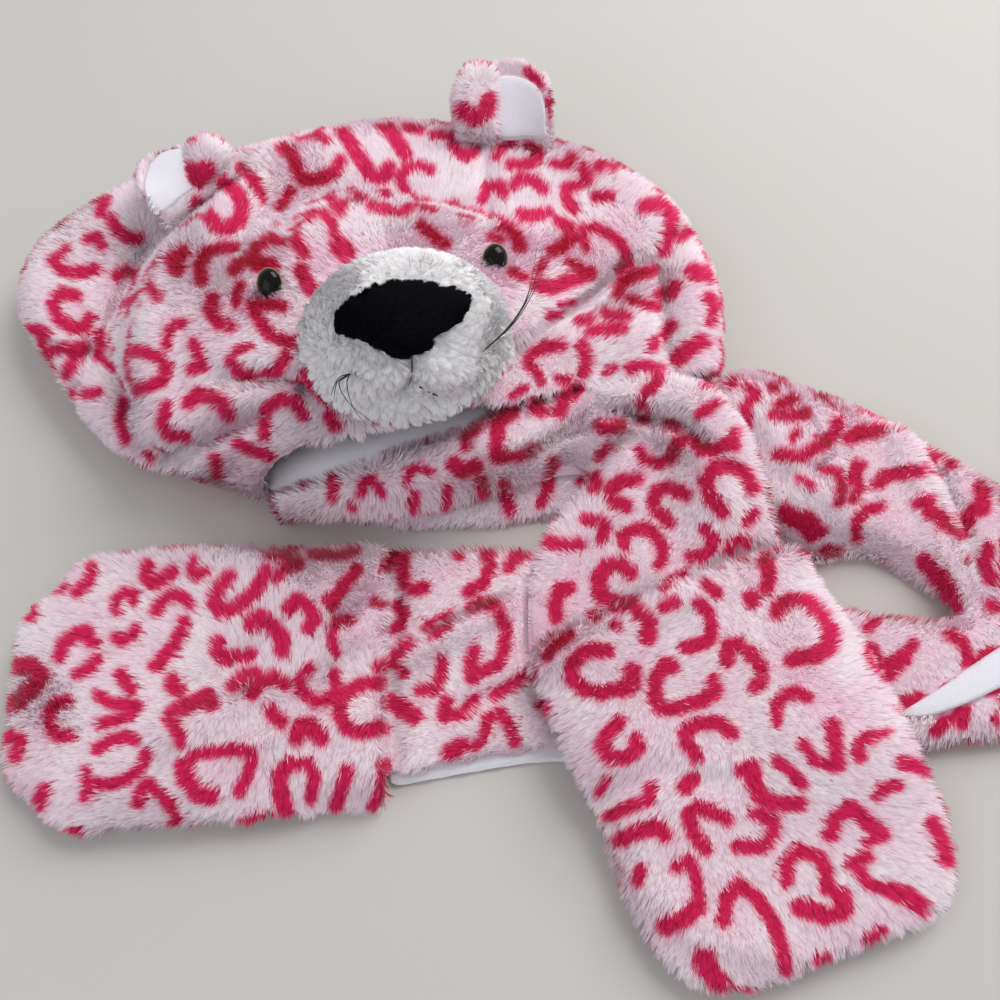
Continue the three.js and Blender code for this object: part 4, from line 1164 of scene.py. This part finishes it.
# Cloth that the photograph sees at a lower share than this is printed as cloth that it doesn't see
GRAZING = 0.3
for cloth in [*cloths.values(), *pads.values()]:
    cloth.seen = np.zeros(len(cloth.points))
    cloth.room = np.full(len(cloth.points), ROOM)
    for k in np.flatnonzero(cloth.outside > 0):
        origin = Vector(cloth.points[k] + OFF_CLOTH * cloth.normals[k])
        toward = Vector(CAMERA) - origin
        if cloth.normals[k] @ unit(np.array(toward)) > GRAZING:
            cloth.seen[k] = WORLD.ray_cast(origin, toward)[0] is None
        distance = WORLD.ray_cast(origin, Vector(cloth.normals[k]), ROOM)[3]
        if distance is not None:
            cloth.room[k] = distance


# Bare cloth is coloured as a blade is near its root, so it takes most of the painted root shade, in a
# middling tone
CLOTH_TIP = 0.25
CLOTH_TONE = 0.5


def dress(cloth, slot, outer, inner=None, nodes=()):
    """Gives the cloth its print or plain colour, and the skin inside a hollow its lining."""
    rng = np.random.default_rng(SEEDS["print"])
    mask = print_mask(cloth.points, cloth.normals, cloth.seen > 0.5, rng)
    set_values(cloth.mesh, "mask", mask)
    set_values(cloth.mesh, "tip", np.full(len(mask), CLOTH_TIP))
    set_values(cloth.mesh, "tone", np.full(len(mask), CLOTH_TONE))
    cloth.mesh.materials.append(outer)
    if inner:
        cloth.mesh.materials.append(inner)
        polygons = np.empty(len(cloth.mesh.loop_triangles), np.int32)
        cloth.mesh.loop_triangles.foreach_get("polygon_index", polygons)
        inside = np.zeros(len(cloth.mesh.polygons), np.int32)
        inside[polygons[cloth.inside[cloth.triangles].all(axis=1)]] = 1
        cloth.mesh.polygons.foreach_set("material_index", inside)
    part_of(cloth.object, slot, *nodes)


FINISH = {
    "muzzle": ("muzzle_plush", WHITE_PILE, None),
    "nose": ("nose_plush", BLACK_PILE, None),
    "hood_crown": ("plush", PLUSH_BASE, FLEECE),
}
for node, cloth in cloths.items():
    slot, outer, inner = FINISH.get(node, ("plush", PLUSH_BASE, None))
    dress(cloth, slot, outer, inner, nodes=[node])
for pad in pads.values():
    dress(pad, "plush", PLUSH_BASE)
for node, cloth in linings.items():
    cloth.mesh.materials.append(FLEECE)
    part_of(cloth.object, "fleece", node)


# Pile

# How a blade heads: its rise off the cloth, its share of the drift and the length over which that turns
# in metres, and how far it strays and twists at random
BLADE = {"rise": 0.8, "wander": 0.75, "wander_length": 0.09, "stray": 0.22, "twist": 0.25}
# The random shares of lean, length, width and gathering
LEANS = (0.7, 1.25)
REACHES = (0.7, 1.15)
WIDTHS = (0.7, 1.3)
GATHERS = (0.3, 1)
# How deep its root sits, and how far a tuft's tip stands over its blade's tip
SUNK = 0.4 * MM
TUFT_RISE = 0.4 * MM
# The room that pile needs in millimetres, loose or crowded, and the share of the room that it may fill
FREE = {"loose": 1.5, "crowded": 0.2, "over": 1.1}
# The share of a blade's length where its colour is taken, and how its shading turns with its own face
SHOWN = 0.4
FACE_TURN = 0.38
FACE_STRAY = 0.06
WAVE_SHAPE = (6, 3)
WAVES = np.random.default_rng(SEEDS["waves"]).uniform(-1, 1, WAVE_SHAPE)
WAVE_PHASES = np.random.default_rng(SEEDS["phases"]).uniform(0, 2 * math.pi, WAVE_SHAPE)


def drift(points, length):
    """A smooth wandering direction, which turns over about the given length."""
    total = np.zeros_like(points)
    for wave, phase in zip(WAVES, WAVE_PHASES):
        turn = (points @ wave)[:, None] * 2 * math.pi / length + phase
        total += np.sin(turn)
    return total / 2


def pile(cloth, name, slot, material, count, length, width, flow, seed, lean=0.62, clump=3.4,
         gather=0.42, spread=0.45, crowded=0.0, take=None):
    """Blades of pile over the outside of a cloth, leaning with the flow and gathered into tufts."""
    rng = np.random.default_rng(seed)
    corners = cloth.triangles
    a, b, c = (cloth.points[corners[:, k]] for k in range(3))
    least_room = FREE["crowded"] if crowded else FREE["loose"]
    grows = (cloth.outside * (cloth.room > least_room * MM))[corners].min(axis=1)
    if take is not None:
        grows = grows * take((a + b + c) / 3)
    area = np.linalg.norm(np.cross(b - a, c - a), axis=1) / 2
    share = np.cumsum(area * grows)
    pick = np.searchsorted(share, rng.uniform(0, share[-1], count))
    first = np.sqrt(rng.uniform(0, 1, count))
    second = rng.uniform(0, 1, count)
    weight = np.stack([1 - first, first * (1 - second), first * second], axis=1)
    own = corners[pick]

    def blend(values):
        return np.einsum("ij,ij...->i...", weight, values[own])

    root = blend(cloth.points)
    normal = unit(blend(cloth.normals))
    room = blend(cloth.room)
    seen = blend(cloth.seen) > 0.5
    middle = np.average((a + b + c) / 3, axis=0, weights=area * grows + 1e-12)
    away = unit((root - middle) * [1, 1, 0])
    wish = np.array(flow) + spread * away + BLADE["wander"] * drift(root, BLADE["wander_length"])
    wish = wish + rng.normal(0, BLADE["stray"], (count, 3))
    wish -= normal * np.sum(wish * normal, axis=1, keepdims=True)
    heading = unit(normal * BLADE["rise"] + unit(wish) * lean * rng.uniform(*LEANS, (count, 1)))
    reach = length * MM * rng.uniform(*REACHES, count)
    reach = np.minimum(reach, np.maximum(room * FREE["over"], crowded * MM))
    tips = root + heading * reach[:, None]
    tufts = max(8, int(share[-1] / (clump * MM) ** 2))
    centres = rng.integers(0, count, tufts)
    tree = KDTree(tufts)
    for k, index in enumerate(centres):
        tree.insert(root[index], k)
    tree.balance()
    nearest = centres[np.array([tree.find(point)[1] for point in root])]
    pull = gather * rng.uniform(*GATHERS, count)
    tips += (tips[nearest] + TUFT_RISE * normal - tips) * pull[:, None]
    run = tips - root
    side = unit(np.cross(run, normal) + rng.normal(0, BLADE["twist"], (count, 3)) * reach[:, None])
    half = side * (width * MM / 2 * rng.uniform(*WIDTHS, count))[:, None]
    low = root - SUNK * normal
    blades = np.stack([low - half, low + half, tips], axis=1)
    face = np.cross(blades[:, 1] - blades[:, 0], blades[:, 2] - blades[:, 0])
    wrong = np.sum(face * normal, axis=1) < 0
    blades[wrong] = blades[wrong][:, [1, 0, 2]]
    blades[:, :, 2] = np.maximum(blades[:, :, 2], BLADE_GAP)
    mesh = mesh_of(blades.reshape(-1, 3), np.arange(count * 3).reshape(-1, 3))
    shown = root + SHOWN * (tips - root)
    mask = print_mask(shown, normal, seen, rng)
    set_values(mesh, "mask", np.repeat(mask, 3))
    # Each blade's share from root to tip, which the materials use to paint shade at the roots
    set_values(mesh, "tip", np.tile([0, 0, 1], count))
    set_values(mesh, "tone", np.repeat(rng.uniform(0, 1, count), 3))
    face = unit(np.cross(blades[:, 1] - blades[:, 0], blades[:, 2] - blades[:, 0]))
    bent = unit(normal + FACE_TURN * face + rng.normal(0, FACE_STRAY, (count, 3)))
    mesh.normals_split_custom_set_from_vertices(np.repeat(bent, 3, axis=0).tolist())
    blades_object = new_object(name, mesh, material)
    # The pile casts no shadow; the painted shade at its roots stands in for it
    blades_object.visible_shadow = False
    return part_of(blades_object, slot)


HOOD_MIDDLE = -85 * MM


def left_half(points):
    return points[:, 0] < HOOD_MIDDLE


def right_half(points):
    return points[:, 0] >= HOOD_MIDDLE


# Each stretch of pile: its cloth, number of blades, length, root width and flow, and the part it takes
PILES = [
    ("hood_crown", "hood_pile_left", 145000, 5.6, 0.8, (-0.6, -0.5, -0.2), left_half),
    ("hood_crown", "hood_pile_right", 145000, 5.6, 0.8, (0.5, -0.3, -0.2), right_half),
    ("tail_a", "tail_a_pile", 80000, 5.6, 0.8, (0.2, -0.8, 0), None),
    ("tail_b", "tail_b_pile", 130000, 5.6, 0.8, (-0.6, -0.6, 0), None),
    ("pocket_a", "pocket_a_pile", 80000, 6.0, 0.8, (0.3, -0.9, 0), None),
    ("pocket_b", "pocket_b_pile", 80000, 6.0, 0.8, (-0.7, -0.4, 0), None),
    ("scarf_nape", "nape_pile", 22000, 5.2, 0.8, (0.1, -0.8, 0), None),
    ("ear_left", "ear_left_pile", 7000, 4.6, 0.75, (-0.2, 0.7, 0.3), None),
    ("ear_right", "ear_right_pile", 7000, 4.6, 0.75, (-0.2, 0.7, 0.3), None),
    ("ear_left_lobe", "ear_left_lobe_pile", 6000, 4.6, 0.75, (0.4, 0.6, 0.2), None),
    ("ear_right_lobe", "ear_right_lobe_pile", 6000, 4.6, 0.75, (-0.5, 0.5, 0.2), None),
]
# The one-colour pile, and how it leans and gathers
PLAIN_PILES = [
    ("muzzle", WHITE_PILE, 56000, 3.8, 0.8, (0, -0.3, 0),
     {"lean": 0.9, "clump": 3.6, "gather": 0.85, "crowded": 2.4}),
    ("nose", BLACK_PILE, 26000, 4.2, 0.5, (0, 0.3, 0),
     {"lean": 1.5, "clump": 2.8, "gather": 0.9, "spread": 0.9}),
]
share_kept = 1.0
furry = {**cloths, **pads}
piles = {}
for k, (node, name, count, length, width, flow, take) in enumerate(PILES):
    count = int(count * share_kept)
    seed = SEEDS["plush"] + k
    piles[name] = pile(furry[node], name, "plush", PLUSH, count, length, width, flow, seed, take=take)
for k, (node, material, count, length, width, flow, habit) in enumerate(PLAIN_PILES):
    name = f"{node}_pile"
    count = int(count * share_kept)
    seed = SEEDS["plain"] + k
    piles[name] = pile(
        cloths[node], name, f"{node}_plush", material, count, length, width, flow, seed, **habit
    )


# Small parts


TAPER = 0.7
# A direction that no thread follows
ASIDE = [0.31, 0.17, 0.93]


def tube(name, points, radius, material, slot, sides=6):
    """A thin round thread through points, its radius in millimetres, thinner towards its far end."""
    points = np.array(points)
    run = unit(np.gradient(points, axis=0))
    across = unit(np.cross(run, ASIDE))
    up = np.cross(run, across)
    angles = np.linspace(0, 2 * math.pi, sides, endpoint=False)
    rings = []
    for k, point in enumerate(points):
        size = radius * MM * (1 - TAPER * k / (len(points) - 1))
        rings.append(point + size * (np.cos(angles)[:, None] * across[k] + np.sin(angles)[:, None] * up[k]))
    faces = ring_faces(len(points), sides)
    return part_of(new_object(name, mesh_of(np.concatenate(rings), faces), material), slot)


def on_surface(px, py, lift):
    """The point that a pixel of the frame shows, brought so many millimetres nearer to the camera."""
    return np.array(seen_on(WORLD, px, py)) - sight(px, py) * lift * MM


# Whiskers: how high the tip stands over the root and how deep the root sits, in millimetres, how soon the
# whisker rises, and the pixels that each passes from its root to its tip
WHISKER_RISE = 9
WHISKER_ROOT = 3
WHISKER_CURVE = 0.8
WHISKERS = {
    "whisker_right_1": ((480, 350), (509, 326), (528, 294), (537, 247)),
    "whisker_right_2": ((480, 350), (511, 325), (531, 292), (543, 250)),
    "whisker_right_3": ((480, 350), (514, 323), (534, 291), (552, 250)),
    "whisker_right_4": ((481, 349), (507, 329), (526, 301), (534, 268)),
    "whisker_left_1": ((349, 370), (340, 377), (334, 386), (331, 396)),
    "whisker_left_2": ((349, 370), (338, 381), (335, 390), (334, 399)),
    "whisker_left_3": ((349, 370), (347, 385), (353, 407), (367, 426)),
    "whisker_left_4": ((347, 372), (339, 384), (350, 404), (379, 427)),
}
for name, pixels in WHISKERS.items():
    root = on_surface(*pixels[0], WHISKER_ROOT)
    stations = []
    for k, (px, py) in enumerate(pixels):
        rise = WHISKER_RISE * (k / (len(pixels) - 1)) ** WHISKER_CURVE
        stations.append(at_height(px, py, root[2] / MM + rise))
    stations[0] = root - [0, 0, WHISKER_ROOT * MM]
    tube(name, smooth_line(stations, 6), 0.32, THREAD, "eye")
# The loose end of a thread: its pixels, and how far off the cloth each lies in millimetres
LOOSE_END = [(498, 338, 4), (507, 334, 6), (516, 330, 8)]
thread_end = [on_surface(*station) for station in LOOSE_END]
tube("whisker_knot_end", smooth_line(thread_end, 5), 0.4, PALE_THREAD, "fleece")

# The mouth: how far its threads lie off the cloth in millimetres, the line from the nose down, and the
# stitches beside it, each from pixel to pixel
THREAD_LIFT = 3.6
MOUTH_LINE = [(411.5, 356), (412, 364), (412, 371), (411, 379), (408, 386)]
line = smooth_line([on_surface(px, py, THREAD_LIFT) for px, py in MOUTH_LINE], 5)
tube("mouth_line", line, 0.55, SOFT_THREAD, "nose_plush")
STITCHES = [((420, 387), (425, 390)), ((426, 391), (430, 393)), ((433, 394), (438, 396))]
for k, (start, end) in enumerate(STITCHES):
    line = smooth_line([on_surface(*start, THREAD_LIFT), on_surface(*end, THREAD_LIFT)], 4)
    tube(f"mouth_stitch_{k + 1}", line, 0.5, THREAD, "nose_plush")

# Each eye in millimetres: the half width and half height of its dome, how far it rises and sinks, how deep
# it is seated, its ring's radius and how far that stands out, and its stem's share of the dome's width
EYE_FORM = {
    "wide": 5.8, "tall": 7.4, "rise": 4.6, "sink": 4.5, "seat": 1.8,
    "ring": 0.4, "out": 0.3, "stem": 0.6,
}
EYE_SIDES = 40
EYE_RINGS = 12
EYE_TOP = math.pi / 2 * 0.995
RING_SIDES = 8
# Where each eye faces
EYES = {"eye_left": (-0.10, -0.62, 0.78), "eye_right": (0.22, -0.50, 0.84)}


def eye(node, axis):
    """A polished oval dome and the thin ring round it, standing where the solid stands."""
    form = EYE_FORM
    low, high = (np.array(corner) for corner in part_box(node))
    axis = unit(np.array(axis))
    across = unit(np.cross([0, 1, 0], axis))
    along = np.cross(axis, across)
    centre = (low + high) / 2 - axis * form["seat"] * MM
    angles = np.linspace(0, 2 * math.pi, EYE_SIDES, endpoint=False)[:, None]
    oval = form["wide"] * np.cos(angles) * across + form["tall"] * np.sin(angles) * along
    layers = [centre + (form["stem"] * oval - form["sink"] * axis) * MM]
    for lift in np.linspace(0, EYE_TOP, EYE_RINGS):
        layers.append(centre + (oval * math.cos(lift) + form["rise"] * math.sin(lift) * axis) * MM)
    mesh = mesh_of(np.concatenate(layers), ring_faces(len(layers), EYE_SIDES))
    part_of(new_object(f"{node}_dome", mesh, EYE), "eye", node)
    around = np.linspace(0, 2 * math.pi, RING_SIDES, endpoint=False)[:, None]
    section = []
    for spoke in oval:
        out = unit(spoke)
        round_off = np.cos(around) * out + np.sin(around) * axis
        section.append(centre + (spoke + form["out"] * out + form["ring"] * round_off) * MM)
    grid = np.arange(EYE_SIDES * RING_SIDES).reshape(EYE_SIDES, RING_SIDES)
    ahead = np.roll(grid, -1, axis=0)
    faces = np.stack([grid, ahead, np.roll(ahead, -1, axis=1), np.roll(grid, -1, axis=1)], axis=-1)
    mesh = mesh_of(np.concatenate(section), faces.reshape(-1, 4))
    part_of(new_object(f"{node}_ring", mesh, RING), "eye")


for node, axis in EYES.items():
    eye(node, axis)


# What is sewn from cloth: the size it was cut to, its flat area, how it lies, what it lies on and its pile
SHEETS = {
    "hood_crown": ((0.42, 0.46), 0.137, "laid", ["scarf_nape_cloth"], ["hood_pile_left", "hood_pile_right"]),
    "tail_a": ((0.12, 0.40), 0.042, "laid", ["tail_b_cloth"], ["tail_a_pile"]),
    "tail_b": ((0.12, 0.62), 0.066, "laid", [], ["tail_b_pile"]),
    "pocket_a": ((0.14, 0.175), 0.0235, "laid", ["tail_a_cloth"], ["pocket_a_pile"]),
    "pocket_b": ((0.14, 0.175), 0.0235, "laid", ["tail_b_cloth"], ["pocket_b_pile"]),
    "scarf_nape": ((0.06, 0.22), 0.0115, "laid", [], ["nape_pile"]),
    "ear_left": ((0.054, 0.050), 0.0022, "folded", ["hood_crown_cloth"], ["ear_left_pile"]),
    "ear_right": ((0.054, 0.050), 0.0022, "folded", ["hood_crown_cloth"], ["ear_right_pile"]),
}
for node, (flat, area, held, under, own) in SHEETS.items():
    own = [piles[name] for name in own]

# Floor, light and camera, in metres
FLOOR_HALF = 40.0
corners = FLOOR_HALF * np.array([[-1, -1, 0], [1, -1, 0], [1, 1, 0], [-1, 1, 0]], float)
floor = new_object("floor", mesh_of(corners, np.array([[0, 1, 2, 3]])), floor_material())

# Each light: its place, size, power and colour
LIGHTS = [
    ("key", (0.75, 0.95, 1.15), 1.1, 22.0, (1.0, 0.98, 0.96)),
    ("fill", (-0.9, -1.0, 1.0), 1.4, 5.5, (0.96, 0.97, 1.0)),
]
for name, place, size, power, colour in LIGHTS:
    lamp = bpy.data.lights.new(name, "AREA")
    lamp.size = size
    lamp.energy = power
    lamp.color = colour
    holder = placed(name, lamp)
    holder.location = place
    holder.rotation_euler = (Vector(LOOK) - Vector(place)).to_track_quat("-Z", "Y").to_euler()

world = bpy.data.worlds.new("studio")
world.use_nodes = True
background = world.node_tree.nodes["Background"].inputs
background["Color"].default_value = rgb(0.97, 0.98, 1.0)
background["Strength"].default_value = 0.56
bpy.context.scene.world = world
bpy.context.scene.view_settings.view_transform = "Standard"

SENSOR = 36
camera = bpy.data.cameras.new("camera")
camera.sensor_width = SENSOR
camera.lens = SENSOR * FOCAL / FRAME
camera.clip_start = 0.01
view = placed("camera", camera)
view.location = CAMERA
view.rotation_euler = Vector(FORWARD).to_track_quat("-Z", "Y").to_euler()
bpy.context.scene.camera = view
